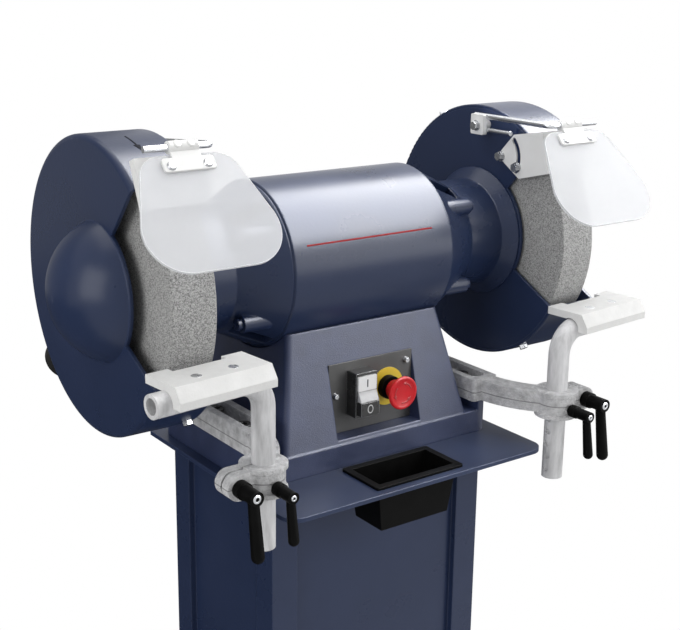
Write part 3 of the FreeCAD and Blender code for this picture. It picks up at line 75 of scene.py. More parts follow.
# Cards that only reflections show: name, corner, its two sides and the property that holds the level.
CARDS = (
    ("gloss_card", (0.08, -1.75, 2.05), (3.0, 0.0, 0.0), (0.0, 2.17, 0.0), "card_level"),
    ("dim_flag", (-4.0, 1.7, 0.6), (4.6, 0.0, 0.0), (0.0, 0.0, 2.0), "flag_level"),
    ("dark_flag", (-4.0, 1.7, 0.0), (4.6, 0.0, 0.0), (0.0, 0.0, 0.6), "apron_level"),
    ("dark_apron", (-4.0, -0.2, 0.004), (8.0, 0.0, 0.0), (0.0, 1.9, 0.0), "apron_level"),
)


def length(name, description, value):
    """A length property in metres."""
    return bpy.props.FloatProperty(name=name, description=description, default=value, unit="LENGTH",
                                   subtype="DISTANCE", precision=4)


def colour(name, description, value):
    """A colour property, scene linear."""
    return bpy.props.FloatVectorProperty(name=name, description=description, default=value, size=3,
                                         min=0.0, max=1.0, subtype="COLOR")


def angle(name, description, degrees):
    """An angle property given in degrees."""
    return bpy.props.FloatProperty(name=name, description=description, default=math.radians(degrees),
                                   unit="ROTATION", subtype="ANGLE")


def share(name, description, value):
    """A factor from nought to one."""
    return bpy.props.FloatProperty(name=name, description=description, default=value, min=0.0, max=1.0,
                                   subtype="FACTOR")


def power(name, description, watts):
    """A lamp's power in watts."""
    return bpy.props.FloatProperty(name=name, description=description, default=watts, unit="POWER")


class GrinderFinish(bpy.types.PropertyGroup):
    """Colours of the coats and materials."""

    navy: colour("Navy paint", "Gloss paint of the guards, motor and stand", (0.0155, 0.0265, 0.067))
    navy_light: colour("Navy paint, thin", "Where the gloss paint lies thinner", (0.0205, 0.0325, 0.079))
    cast_navy: colour("Cast navy", "Textured paint of the base casting", (0.028, 0.040, 0.096))
    stone_dark: colour("Stone, dark grain", "Darkest grains of the wheels", (0.03, 0.03, 0.03))
    stone_light: colour("Stone, light grain", "Lightest grains of the wheels", (0.62, 0.62, 0.61))
    cast_grey: colour("Cast grey", "Painted iron of the rest arms", (0.64, 0.64, 0.65))
    table_grey: colour("Table grey", "Aluminium coat of the rest tables", (0.79, 0.79, 0.78))
    sheet_white: colour("Sheet white", "Deflectors, clamp blocks and brackets", (0.80, 0.80, 0.79))
    # The pane's pale colour and how much it hides are painted reflection of the bright studio on the clear
    # shields.
    pane_reflection_colour: colour("Pane", "Clear eye shields", (0.71, 0.72, 0.75))
    pane_reflection_film: share("Pane film", "How much each face of the pane hides", 0.57)
    steel: colour("Steel", "Zinc plated bolts and ground shafts", (0.55, 0.56, 0.58))
    black: colour("Black", "Levers and water pot", (0.0025, 0.0025, 0.0025))
    shell_grey: colour("Shell grey", "Switch housing and stop button", (0.016, 0.016, 0.016))
    plate: colour("Panel plate", "Coated plate behind the switches", (0.052, 0.052, 0.052))
    red: colour("Red", "Stop head and motor stripe", (0.70, 0.018, 0.026))
    yellow: colour("Yellow", "Ring behind the stop head", (0.86, 0.62, 0.015))


class GrinderParts(bpy.types.PropertyGroup):
    """Sizes of the small parts and marks."""

    mark_lift: length("Mark lift", "How far a printed mark stands on its surface", 0.00025)
    bar_height: length("Start bar height", "Upright bar on the start button", 0.0090)
    bar_width: length("Start bar width", "Stroke of the upright bar", 0.0015)
    loop_height: length("Stop loop height", "Oval loop on the stop button", 0.0092)
    loop_width: length("Stop loop width", "Oval loop on the stop button", 0.0070)
    loop_stroke: length("Stop loop stroke", "Stroke of the loop", 0.0011)
    lip_radius: length("Stop head lip radius", "Inside of the lip round the stop head's face", 0.0150)
    lip_depth: length("Stop head lip depth", "How deep the face lies within its lip", 0.0012)
    neck_radius: length("Stop head neck radius", "Narrow part behind the stop head", 0.0112)
    stem_radius: length("Stop head stem radius", "Stem that goes into the collar", 0.0070)
    head_depth: length("Stop head depth", "From the lip to the back of the neck", 0.0200)
    neck_flare: length("Stop head neck flare", "How soon the neck narrows behind the lip", 0.0070)
    arc_radius: length("Stop head arc radius", "Middle of the turning arcs on the stop head", 0.0118)
    arc_width: length("Stop head arc width", "Width of the turning arcs", 0.0016)
    arc_sweep: angle("Stop head arc sweep", "How far each turning arc goes round", 74.0)
    lens_gap: length("Lens gap", "Between the pilot lens and each button", 0.0003)
    lens_rounding: length("Lens rounding", "Rounded edges of the pilot lens", 0.0006)
    stripe_start: length("Stripe start", "Left end of the motor stripe along the spindle", -0.0928)
    stripe_end: length("Stripe end", "Right end of the motor stripe along the spindle", 0.0833)
    stripe_turn: angle("Stripe turn", "Stripe's place round the motor, from the top to the front", 68.4)
    stripe_width: length("Stripe width", "Width of the motor stripe", 0.0018)
    motor_radius: length("Motor radius", "Outside of the motor sleeve", 0.097)
    arrow_x: length("Arrow place", "Turning arrow along the spindle", -0.272)
    arrow_start: angle("Arrow start", "Tail of the turning arrow, from the top to the front", 8.0)
    arrow_end: angle("Arrow end", "Tip of the turning arrow, from the top to the front", 22.0)
    arrow_width: length("Arrow width", "Stroke of the turning arrow", 0.0020)
    insert_radius: length("Insert radius", "Bright insert in the end of a lever hub", 0.0046)
    hub_radius: length("Hub radius", "Within which a lever hub's end is looked for", 0.0140)
    dimple_radius: length("Dimple radius", "Pressed dimple on a shield bracket", 0.0042)
    dimple_height: length("Dimple height", "How far a dimple stands on its bracket", 0.0013)
    dimple_root: length("Dimple root", "How deep a dimple goes into its bracket", 0.0015)
    dimple_spacing: length("Dimple spacing", "Between the two dimples of a bracket", 0.0150)
    barrel_radius: length("Barrel radius", "Rolled barrel of a shield bracket", 0.00655)
    shield_tilt: angle("Shield tilt", "Pane from upright as it is set", 40.0)
    bead_radius: length("Weld bead radius", "Bead round the foot of the column", 0.0045)
    bead_pitch: length("Weld bead pitch", "From one ripple of the bead to the next", 0.0030)
    bead_ripple: share("Weld bead ripple", "How much the ripples swell the bead", 0.10)


class GrinderStage(bpy.types.PropertyGroup):
    """Camera, lamps and floor."""

    camera_place: bpy.props.FloatVectorProperty(
        name="Camera place", description="Camera position", default=(-0.83184, -1.16889, 1.35805), size=3,
        unit="LENGTH", subtype="XYZ")
    azimuth: angle("Camera azimuth", "Camera's turn about the upright axis", -35.483)
    elevation: angle("Camera elevation", "Camera's height above the level", 15.285)
    roll: angle("Camera roll", "Camera's turn about its own line of sight", 0.591)
    lens: bpy.props.FloatProperty(name="Lens", description="Focal length in millimetres", default=65.407)
    shift: bpy.props.FloatVectorProperty(
        name="Shift", description="Lens shift to the picture's frame", default=(0.01629, -0.02269),
        size=2)
    top_power: power("Top lamp", "Wide soft lamp overhead", 16.5)
    front_power: power("Front lamp", "Soft lamp to the right of the user", 22.0)
    side_power: power("Side lamp", "Soft lamp on the left", 16.0)
    ambient: share("Ambient", "Level of the plain surrounding light", 0.40)
    card_level: bpy.props.FloatProperty(
        name="Card level", description="Brightness of the gloss card overhead", default=21.0, min=0.0)
    flag_level: share("Flag level", "Brightness of the dim card at the back", 0.30)
    apron_level: share("Apron level", "Brightness of the dark cards at the floor", 0.05)
    floor_size: length("Floor size", "Side of the floor", 60.0)
    shadow_full: length("Full shadow", "Distance within which the floor keeps its whole shadow", 0.35)
    shadow_end: length("Shadow end", "Distance at which the floor turns plain white", 0.95)


def build_mesh(name, grids):
    """One closed mesh out of grids of points.

    Each grid is (points, closed_u, closed_v): rows run along the first parameter and columns along the
    second, and four neighbours make a face. Doubled points merge, so a row drawn together is a pole."""
    points, faces, start = [], [], 0
    for grid, closed_u, closed_v in grids:
        rows, columns = grid.shape[:2]
        index = start + np.arange(rows*columns).reshape(rows, columns)
        start += rows*columns
        if closed_u:
            index = np.vstack([index, index[:1]])
        if closed_v:
            index = np.hstack([index, index[:, :1]])
        quads = np.stack([index[:-1, :-1], index[1:, :-1], index[1:, 1:], index[:-1, 1:]], -1)
        points.append(grid.reshape(-1, 3))
        faces.append(quads.reshape(-1, 4))
    mesh = bpy.data.meshes.new(name)
    mesh.from_pydata(np.vstack(points).tolist(), [], np.vstack(faces).tolist())
    shell = bmesh.new()
    shell.from_mesh(mesh)
    bmesh.ops.remove_doubles(shell, verts=shell.verts, dist=2e-6)
    bmesh.ops.dissolve_degenerate(shell, edges=shell.edges, dist=1e-7)
    bmesh.ops.recalc_face_normals(shell, faces=shell.faces)
    shell.to_mesh(mesh)
    shell.free()
    mesh.polygons.foreach_set("use_smooth", np.ones(len(mesh.polygons), bool))
    mesh.set_sharp_from_angle(angle=math.radians(40))
    return mesh


def add_piece(name, grids, body, material):
    """Put a new piece in the scene, on its body, with its finish."""
    piece = bpy.data.objects.new(name, build_mesh(name, grids))
    bpy.context.scene.collection.objects.link(piece)
    piece.data.materials.append(material)
    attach(piece, body)
    return piece


def front_middle(node):
    """Middle of the side of a solid's box that faces the user."""
    low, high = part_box(node)
    return np.array(((low.x + high.x)/2, low.y, (low.z + high.z)/2))


def flat_sheet(name, corner, across, along, count):
    """Flat stage sheet: the corner, plus a share of one side, plus a share of the other."""
    steps = np.linspace(0, 1, count)[:, None, None]
    grid = np.array(corner) + steps*np.array(across) + steps.transpose(1, 0, 2)*np.array(along)
    index = np.arange(count*count).reshape(count, count)
    quads = np.stack([index[:-1, :-1], index[1:, :-1], index[1:, 1:], index[:-1, 1:]], -1)
    mesh = bpy.data.meshes.new(name)
    mesh.from_pydata(grid.reshape(-1, 3).tolist(), [], quads.reshape(-1, 4).tolist())
    sheet = bpy.data.objects.new(name, mesh)
    bpy.context.scene.collection.objects.link(sheet)
    return sheet


def squared_loop(count, power_of):
    """Closed loop of unit half width and height: cosine and sine, each raised to 2 over the power."""
    turn = np.linspace(0, 2*np.pi, count, endpoint=False)
    loop = np.stack([np.cos(turn), np.sin(turn)], -1)
    return np.sign(loop)*np.abs(loop)**(2/power_of)


def band(path, normal, half_width, half_height, closed=False, count=12, power_of=6):
    """Squared loop carried along a path.

    A point of the band is the path's point, plus the loop's first coordinate times half the width to
    the side, plus the second times half the height along the normal. Open ends close to a point."""
    if closed:
        ahead = np.roll(path, -1, 0) - np.roll(path, 1, 0)
    else:
        ahead = np.gradient(path, axis=0)
    ahead = ahead/np.linalg.norm(ahead, axis=1, keepdims=True)
    normal = np.broadcast_to(normal, path.shape)
    side = np.cross(ahead, normal)
    side = side/np.linalg.norm(side, axis=1, keepdims=True)
    width = np.broadcast_to(half_width, len(path))
    height = np.broadcast_to(half_height, len(path))
    loop = squared_loop(count, power_of)
    across = side[:, None]*(width[:, None]*loop[:, 0])[..., None]
    up = normal[:, None]*(height[:, None]*loop[:, 1])[..., None]
    grid = path[:, None] + across + up
    if not closed:
        first = np.broadcast_to(path[:1, None], (1,) + grid.shape[1:])
        last = np.broadcast_to(path[-1:, None], (1,) + grid.shape[1:])
        grid = np.concatenate([first, grid, last])
    return grid, closed, True


def turned(profile, centre, axis, count=40):
    """Profile of (radius, height) pairs turned about an axis through a centre."""
    axis = np.array(axis, float)/np.linalg.norm(axis)
    first = np.cross(axis, (0.3, 0.2, 0.9))
    first = first/np.linalg.norm(first)
    second = np.cross(axis, first)
    turn = np.linspace(0, 2*np.pi, count, endpoint=False)
    ring = np.cos(turn)[:, None]*first + np.sin(turn)[:, None]*second
    profile = np.array(profile, float)
    grid = profile[:, :1, None]*ring[None] + profile[:, 1:, None]*axis + np.array(centre, float)
    return grid, False, True


def arrow_half_width(along, shaft, spread, stroke):
    """Half the width along an arrow: half the stroke on the shaft, then a head that tapers to its tip."""
    return np.where(along < shaft, 0.5, spread*(1 - along)/(1 - shaft) + 0.02)*stroke


def round_spindle(x, turn, radius):
    """Points on a cylinder about the spindle: turn runs from the top towards the user."""
    return np.stack([x + 0*turn, -radius*np.sin(turn), SPINDLE_HEIGHT + radius*np.cos(turn)], -1)


def socket(group, name, kind, way, value=None):
    """A named socket of a node group."""
    made = group.interface.new_socket(name=name, socket_type=kind, in_out=way)
    if value is not None:
        made.default_value = value


def add_node(tree, kind, **settings):
    """A node with its settings."""
    made = tree.nodes.new(kind)
    for key, value in settings.items():
        setattr(made, key, value)
    return made


def mix_colours(tree, factor, first, second):
    """Mix two colours, each a value or a socket, by a socket."""
    mix = add_node(tree, "ShaderNodeMix", data_type="RGBA")
    tree.links.new(factor, mix.inputs[0])
    for place, source in ((6, first), (7, second)):
        if isinstance(source, bpy.types.NodeSocket):
            tree.links.new(source, mix.inputs[place])
        else:
            mix.inputs[place].default_value = (*source, 1.0)
    return mix.outputs[2]


def span(tree, source, low, high, low_out, high_out):
    """Map a value from one range to another, clamped."""
    made = add_node(tree, "ShaderNodeMapRange", clamp=True)
    tree.links.new(source, made.inputs["Value"])
    for name, value in (("From Min", low), ("From Max", high), ("To Min", low_out), ("To Max", high_out)):
        made.inputs[name].default_value = value
    return made.outputs["Result"]


def noise(tree, vector, scale, detail, roughness=0.5):
    """Noise of a scale, either a value or a socket."""
    made = add_node(tree, "ShaderNodeTexNoise")
    tree.links.new(vector, made.inputs["Vector"])
    made.inputs["Detail"].default_value = detail
    made.inputs["Roughness"].default_value = roughness
    if isinstance(scale, bpy.types.NodeSocket):
        tree.links.new(scale, made.inputs["Scale"])
    else:
        made.inputs["Scale"].default_value = scale
    return made.outputs["Fac"]


def soft_edge_group():
    """Rounded normal along hard edges, and a mask that is one on them."""
    tree = bpy.data.node_groups.new("Soft edges", "ShaderNodeTree")
    socket(tree, "Radius", "NodeSocketFloat", "INPUT", 0.001)
    socket(tree, "Normal", "NodeSocketVector", "OUTPUT")
    socket(tree, "Edge", "NodeSocketFloat", "OUTPUT")
    inside = add_node(tree, "NodeGroupInput")
    out = add_node(tree, "NodeGroupOutput")
    rounding = add_node(tree, "ShaderNodeBevel", samples=4)
    face = add_node(tree, "ShaderNodeNewGeometry")
    product = add_node(tree, "ShaderNodeVectorMath", operation="DOT_PRODUCT")
    tree.links.new(inside.outputs["Radius"], rounding.inputs["Radius"])
    tree.links.new(rounding.outputs["Normal"], product.inputs[0])
    tree.links.new(face.outputs["Normal"], product.inputs[1])
    tree.links.new(rounding.outputs["Normal"], out.inputs["Normal"])
    tree.links.new(span(tree, product.outputs["Value"], 0.97, 0.80, 0.0, 1.0), out.inputs["Edge"])
    return tree


def coat_skin_group():
    """Cloudy patches and the fine skin of a sprayed or cast coat."""
    tree = bpy.data.node_groups.new("Coat skin", "ShaderNodeTree")
    socket(tree, "Vector", "NodeSocketVector", "INPUT")
    socket(tree, "Patch scale", "NodeSocketFloat", "INPUT", 14.0)
    socket(tree, "Skin scale", "NodeSocketFloat", "INPUT", 300.0)
    socket(tree, "Patch", "NodeSocketFloat", "OUTPUT")
    socket(tree, "Skin", "NodeSocketFloat", "OUTPUT")
    inside = add_node(tree, "NodeGroupInput")
    out = add_node(tree, "NodeGroupOutput")
    patch = noise(tree, inside.outputs["Vector"], inside.outputs["Patch scale"], 5.0, 0.6)
    skin = noise(tree, inside.outputs["Vector"], inside.outputs["Skin scale"], 3.0, 0.55)
    tree.links.new(span(tree, patch, 0.3, 0.7, 0.0, 1.0), out.inputs["Patch"])
    tree.links.new(span(tree, skin, 0.25, 0.75, 0.0, 1.0), out.inputs["Skin"])
    return tree


def stone_grain_group():
    """Bonded grains: cells of uneven shade with a finer dust, and their height."""
    tree = bpy.data.node_groups.new("Stone grain", "ShaderNodeTree")
    socket(tree, "Vector", "NodeSocketVector", "INPUT")
    socket(tree, "Grain scale", "NodeSocketFloat", "INPUT", 500.0)
    socket(tree, "Shade", "NodeSocketFloat", "OUTPUT")
    socket(tree, "Height", "NodeSocketFloat", "OUTPUT")
    inside = add_node(tree, "NodeGroupInput")
    out = add_node(tree, "NodeGroupOutput")
    cells = add_node(tree, "ShaderNodeTexVoronoi", feature="F1")
    tree.links.new(inside.outputs["Vector"], cells.inputs["Vector"])
    tree.links.new(inside.outputs["Grain scale"], cells.inputs["Scale"])
    grey = add_node(tree, "ShaderNodeSeparateColor")
    tree.links.new(cells.outputs["Color"], grey.inputs["Color"])
    dust = noise(tree, inside.outputs["Vector"], 2400.0, 3.0, 0.7)
    blend = add_node(tree, "ShaderNodeMix", data_type="FLOAT")
    blend.inputs[0].default_value = 0.3
    tree.links.new(grey.outputs["Red"], blend.inputs[2])
    tree.links.new(span(tree, dust, 0.3, 0.7, 0.0, 1.0), blend.inputs[3])
    tree.links.new(blend.outputs[0], out.inputs["Shade"])
    tree.links.new(span(tree, cells.outputs["Distance"], 0.0, 0.7, 1.0, 0.0), out.inputs["Height"])
    return tree


def place_group(tree, maker, **values):
    """Place a shared group, made once, with its own values."""
    titles = {soft_edge_group: "Soft edges", coat_skin_group: "Coat skin",
              stone_grain_group: "Stone grain"}
    shared = bpy.data.node_groups.get(titles[maker]) or maker()
    made = add_node(tree, "ShaderNodeGroup", node_tree=shared)
    for name, value in values.items():
        made.inputs[name.replace("_", " ").capitalize()].default_value = value
    return made


def start_material(name):
    """A new material: its tree, shader and object coordinates."""
    material = bpy.data.materials.new(name)
    material.use_nodes = True
    tree = material.node_tree
    shader = tree.nodes["Principled BSDF"]
    place = add_node(tree, "ShaderNodeTexCoord")
    return material, tree, shader, place.outputs["Object"]


def relief(tree, shader, height, normal, strength, distance):
    """Bump of a height on top of the softened normal."""
    bump = add_node(tree, "ShaderNodeBump")
    bump.inputs["Strength"].default_value = strength
    bump.inputs["Distance"].default_value = distance
    tree.links.new(height, bump.inputs["Height"])
    tree.links.new(normal, bump.inputs["Normal"])
    tree.links.new(bump.outputs["Normal"], shader.inputs["Normal"])


def squeezed(tree, place, factors):
    """Coordinates multiplied along each axis."""
    product = add_node(tree, "ShaderNodeVectorMath", operation="MULTIPLY")
    tree.links.new(place, product.inputs[0])
    product.inputs[1].default_value = factors
    return product.outputs["Vector"]


def parting_line(tree, place, level):
    """One on the line where the mould halves met, at a height, and nought away from it."""
    parts = add_node(tree, "ShaderNodeSeparateXYZ")
    tree.links.new(place, parts.inputs["Vector"])
    away = add_node(tree, "ShaderNodeMath", operation="SUBTRACT")
    tree.links.new(parts.outputs["Z"], away.inputs[0])
    away.inputs[1].default_value = level
    size = add_node(tree, "ShaderNodeMath", operation="ABSOLUTE")
    tree.links.new(away.outputs["Value"], size.inputs[0])
    return span(tree, size.outputs["Value"], 0.0003, 0.0010, 0.8, 0.0)


def shaded(value, factor):
    """A colour made lighter or darker."""
    return tuple(min(1.0, factor*c) for c in value)


def coat(name, main, other, roughness, spread=0.06, metallic=0.0, patch=14.0, skin=300.0, strength=0.15,
         distance=0.0004, radius=0.0010, wear_and_highlight_colour=None, wear_and_highlight_share=0.0, level=0.5, draw=None, seam=None):
    """A coated or bare surface: two shades in cloudy patches, paler edges and a fine skin. The paler edges are
    wear on most coats, painted highlight on the switch shell, and both on the rest tables.

    Draw squeezes the patches along each axis into streaks, and seam is the level of a parting line."""
    material, tree, shader, place = start_material(name)
    skin_node = place_group(tree, coat_skin_group, patch_scale=patch, skin_scale=skin)
    tree.links.new(squeezed(tree, place, draw) if draw else place, skin_node.inputs["Vector"])
    edges = place_group(tree, soft_edge_group, radius=radius)
    shade = mix_colours(tree, skin_node.outputs["Patch"], main, other)
    # Paler edges: wear, and on some coats painted highlight.
    if wear_and_highlight_colour is not None:
        shade = mix_colours(tree, span(tree, edges.outputs["Edge"], 0.0, 1.0, 0.0, wear_and_highlight_share), shade, wear_and_highlight_colour)
    if seam is not None:
        shade = mix_colours(tree, parting_line(tree, place, seam), shade, shaded(other, 0.45))
    tree.links.new(shade, shader.inputs["Base Color"])
    uneven = span(tree, skin_node.outputs["Patch"], 0.0, 1.0, roughness - spread, roughness + spread)
    tree.links.new(uneven, shader.inputs["Roughness"])
    shader.inputs["Metallic"].default_value = metallic
    shader.inputs["Specular IOR Level"].default_value = level
    relief(tree, shader, skin_node.outputs["Skin"], edges.outputs["Normal"], strength, distance)
    return material


def stone(name, finish):
    """Speckled grey abrasive."""
    material, tree, shader, place = start_material(name)
    grains = place_group(tree, stone_grain_group, grain_scale=1250.0)
    tree.links.new(place, grains.inputs["Vector"])
    edges = place_group(tree, soft_edge_group, radius=0.0015)
    tree.links.new(mix_colours(tree, grains.outputs["Shade"], finish.stone_dark, finish.stone_light),
                   shader.inputs["Base Color"])
    tree.links.new(span(tree, grains.outputs["Shade"], 0.0, 1.0, 0.95, 0.7), shader.inputs["Roughness"])
    relief(tree, shader, grains.outputs["Height"], edges.outputs["Normal"], 0.5, 0.0008)
    return material


def clear_pane(name, finish):
    """Clear pane: a pale film that is painted reflection of the bright studio, painted highlight on its cut edges,
    faint wipe marks, and it lets the lamps through.
    """
    material, tree, shader, place = start_material(name)
    wipes = place_group(tree, coat_skin_group, patch_scale=9.0, skin_scale=60.0)
    tree.links.new(place, wipes.inputs["Vector"])
    edges = place_group(tree, soft_edge_group, radius=0.0016)
    shade = mix_colours(tree, wipes.outputs["Patch"], finish.pane_reflection_colour, tuple(0.96*c for c in finish.pane_reflection_colour))
    # Cut edges turn near white and hide more: painted highlight along the pane's edges.
    tree.links.new(mix_colours(tree, edges.outputs["Edge"], shade, (0.95, 0.96, 0.97)),
                   shader.inputs["Base Color"])
    shader.inputs["Specular IOR Level"].default_value = 0.06
    # The film that hides what lies behind the pane is painted reflection of the bright studio.
    reflection_film = span(tree, wipes.outputs["Patch"], 0.0, 1.0, finish.pane_reflection_film - 0.03, finish.pane_reflection_film + 0.03)
    cover = add_node(tree, "ShaderNodeMath", operation="MULTIPLY_ADD", use_clamp=True)
    tree.links.new(edges.outputs["Edge"], cover.inputs[0])
    cover.inputs[1].default_value = 0.3
    tree.links.new(reflection_film, cover.inputs[2])
    ray = add_node(tree, "ShaderNodeLightPath")
    veil = add_node(tree, "ShaderNodeMath", operation="MULTIPLY")
    tree.links.new(cover.outputs["Value"], veil.inputs[0])
    tree.links.new(span(tree, ray.outputs["Is Shadow Ray"], 0.0, 1.0, 1.0, 0.15), veil.inputs[1])
    tree.links.new(veil.outputs["Value"], shader.inputs["Alpha"])
    tree.links.new(span(tree, wipes.outputs["Skin"], 0.0, 1.0, 0.08, 0.16), shader.inputs["Roughness"])
    return material


class GRINDER_OT_finish_solids(bpy.types.Operator):
    """Give every solid of the grinder its coat"""

    bl_idname = "grinder.finish_solids"
    bl_label = "Finish Solids"

    def execute(self, context):
        finish = context.scene.grinder_finish
        pale = shaded(finish.steel, 1.2)
        coats = {
            "navy_paint": coat("navy_paint", finish.navy, finish.navy_light, 0.30, patch=7.0, skin=260.0,
                               strength=0.08, distance=0.0005, radius=0.0022,
                               wear_and_highlight_colour=shaded(finish.navy_light, 2.2), wear_and_highlight_share=0.35, level=0.27),
            "cast_navy": coat("cast_navy", finish.cast_navy, shaded(finish.cast_navy, 1.25), 0.42,
                              patch=40.0, skin=850.0, strength=0.26, distance=0.0006, radius=0.0028,
                              wear_and_highlight_colour=shaded(finish.cast_navy, 1.8), wear_and_highlight_share=0.4, level=0.45),
            "tray_navy": coat("tray_navy", finish.navy, shaded(finish.navy_light, 1.2), 0.36, patch=9.0,
                              skin=420.0, strength=0.10, distance=0.0004, radius=0.0014,
                              wear_and_highlight_colour=shaded(finish.navy_light, 3.0), wear_and_highlight_share=0.6, level=0.25),
            "bolt_steel": coat("bolt_steel", shaded(finish.steel, 0.9), shaded(finish.steel, 0.6), 0.28,
                               metallic=1.0, patch=160.0, skin=900.0, strength=0.1, radius=0.0004,
                               wear_and_highlight_colour=pale, wear_and_highlight_share=0.6),
            # Near-black steel for screws that sit in recesses: painted shade of those recesses.
            "dark_bolt": coat("dark_bolt", (0.03, 0.03, 0.032), (0.06, 0.06, 0.06), 0.42, metallic=0.6,
                              patch=120.0, skin=700.0, strength=0.12, radius=0.0006, wear_and_highlight_colour=pale, wear_and_highlight_share=0.3),
            "black_plastic": coat("black_plastic", finish.black, shaded(finish.black, 1.8), 0.42,
                                  patch=40.0, skin=800.0, strength=0.16, radius=0.0010,
                                  wear_and_highlight_colour=shaded(finish.black, 6.0), wear_and_highlight_share=0.4, level=0.04),
            # The switch shell's pale edges are painted highlight along its bevels.
            "switch_shell": coat("switch_shell", finish.shell_grey, shaded(finish.shell_grey, 1.4), 0.30,
                                 patch=40.0, skin=800.0, strength=0.10, radius=0.0012,
                                 wear_and_highlight_colour=shaded(finish.steel, 1.2), wear_and_highlight_share=0.7),
            "cap_rubber": coat("cap_rubber", shaded(finish.black, 1.3), shaded(finish.black, 2.0), 0.6,
                               patch=60.0, skin=600.0, strength=0.2),
            "panel_dark": coat("panel_dark", finish.plate, shaded(finish.plate, 1.35), 0.45, patch=30.0,
                               skin=1100.0, strength=0.12, radius=0.0005,
                               wear_and_highlight_colour=shaded(finish.plate, 6.0), wear_and_highlight_share=0.5),
            "switch_white": coat("switch_white", (0.90, 0.90, 0.90), (0.84, 0.84, 0.85), 0.32, patch=60.0,
                                 skin=900.0, strength=0.08, radius=0.0008),
            "estop_red": coat("estop_red", finish.red, shaded(finish.red, 0.85), 0.33, patch=50.0,
                              skin=700.0, strength=0.08, radius=0.0015, wear_and_highlight_colour=(0.66, 0.10, 0.11),
                              wear_and_highlight_share=0.5, level=0.2),
            "ring_yellow": coat("ring_yellow", finish.yellow, shaded(finish.yellow, 0.88), 0.4,
                                patch=70.0, skin=800.0, strength=0.08, radius=0.0004),
            "core_steel": coat("core_steel", (0.20, 0.20, 0.21), (0.14, 0.14, 0.15), 0.45, metallic=0.9,
                               patch=60.0, skin=900.0, strength=0.3),
            "copper": coat("copper", (0.55, 0.21, 0.08), (0.40, 0.14, 0.05), 0.35, metallic=0.9,
                           patch=90.0, skin=500.0, strength=0.5, distance=0.001),
            "ground_steel": coat("ground_steel", finish.steel, shaded(finish.steel, 0.85), 0.25,
                                 metallic=1.0, patch=40.0, skin=1200.0, strength=0.08),
            "bright_rod": coat("bright_rod", shaded(finish.steel, 1.35), finish.steel, 0.22, metallic=1.0,
                               patch=60.0, skin=900.0, strength=0.05),
            "white_sheet": coat("white_sheet", finish.sheet_white, shaded(finish.sheet_white, 0.96), 0.42,
                                patch=18.0, skin=500.0, strength=0.06, radius=0.0010,
                                wear_and_highlight_colour=(0.88, 0.88, 0.87), wear_and_highlight_share=0.6, level=0.1),
            "cast_grey": coat("cast_grey", shaded(finish.cast_grey, 1.15), shaded(finish.cast_grey, 0.65),
                              0.55, patch=90.0, skin=330.0, strength=0.85, distance=0.0015, radius=0.0018,
                              wear_and_highlight_colour=shaded(finish.cast_grey, 1.35), wear_and_highlight_share=0.6, level=0.15,
                              seam=JOINTS["left_clamp_turn"]["pos_m"][2]),
            "tube_grey": coat("tube_grey", shaded(finish.cast_grey, 1.2), shaded(finish.cast_grey, 0.72),
                              0.45, patch=110.0, skin=420.0, strength=0.25, radius=0.0012,
                              wear_and_highlight_colour=shaded(finish.cast_grey, 1.35), wear_and_highlight_share=0.5, level=0.2,
                              draw=(1.0, 1.0, 0.18)),
            # The tables' paler edges are partly wear and partly painted highlight.
            "table_grey": coat("table_grey", finish.table_grey, shaded(finish.table_grey, 0.92), 0.5,
                               patch=60.0, skin=520.0, strength=0.25, radius=0.0012,
                               wear_and_highlight_colour=shaded(finish.table_grey, 1.25), wear_and_highlight_share=0.6, level=0.1),
            "abrasive": stone("abrasive", finish),
            "clear_pane": clear_pane("clear_pane", finish),
        }
        for node, solid in frame["nodes"].items():
            material = coats[OWN_COATS.get(node, NODE_SLOTS[node])]
            for place in solid.material_slots:
                place.material = material
            if not solid.material_slots:
                solid.data.materials.append(material)
        return {"FINISHED"}


class GRINDER_OT_switch_marks(bpy.types.Operator):
    """Mark the start button with a bar and the stop button with a loop"""

    bl_idname = "grinder.switch_marks"
    bl_label = "Switch Marks"

    def execute(self, context):
        parts = context.scene.grinder_parts
        ink = coat("mark_ink", (0.02, 0.02, 0.03), (0.03, 0.03, 0.04), 0.45, patch=200.0, skin=900.0)
        chalk = coat("mark_chalk", (0.78, 0.78, 0.78), (0.70, 0.70, 0.70), 0.45, patch=200.0, skin=900.0)

        steps = np.linspace(-0.5, 0.5, 12)[:, None]
        bar = front_middle("start_button") + steps*parts.bar_height*np.array((0, 0, 1.0))
        add_piece("start_bar", [band(bar, FORWARD, parts.bar_width/2, parts.mark_lift)], "start_push",
                  ink)

        turn = np.linspace(0, 2*np.pi, 48, endpoint=False)
        loop = front_middle("stop_button") + np.stack(
            [parts.loop_width/2*np.cos(turn), 0*turn, parts.loop_height/2*np.sin(turn)], -1)
        add_piece("stop_loop", [band(loop, FORWARD, parts.loop_stroke/2, parts.mark_lift, closed=True)],
                  "stop_push", chalk)
        return {"FINISHED"}


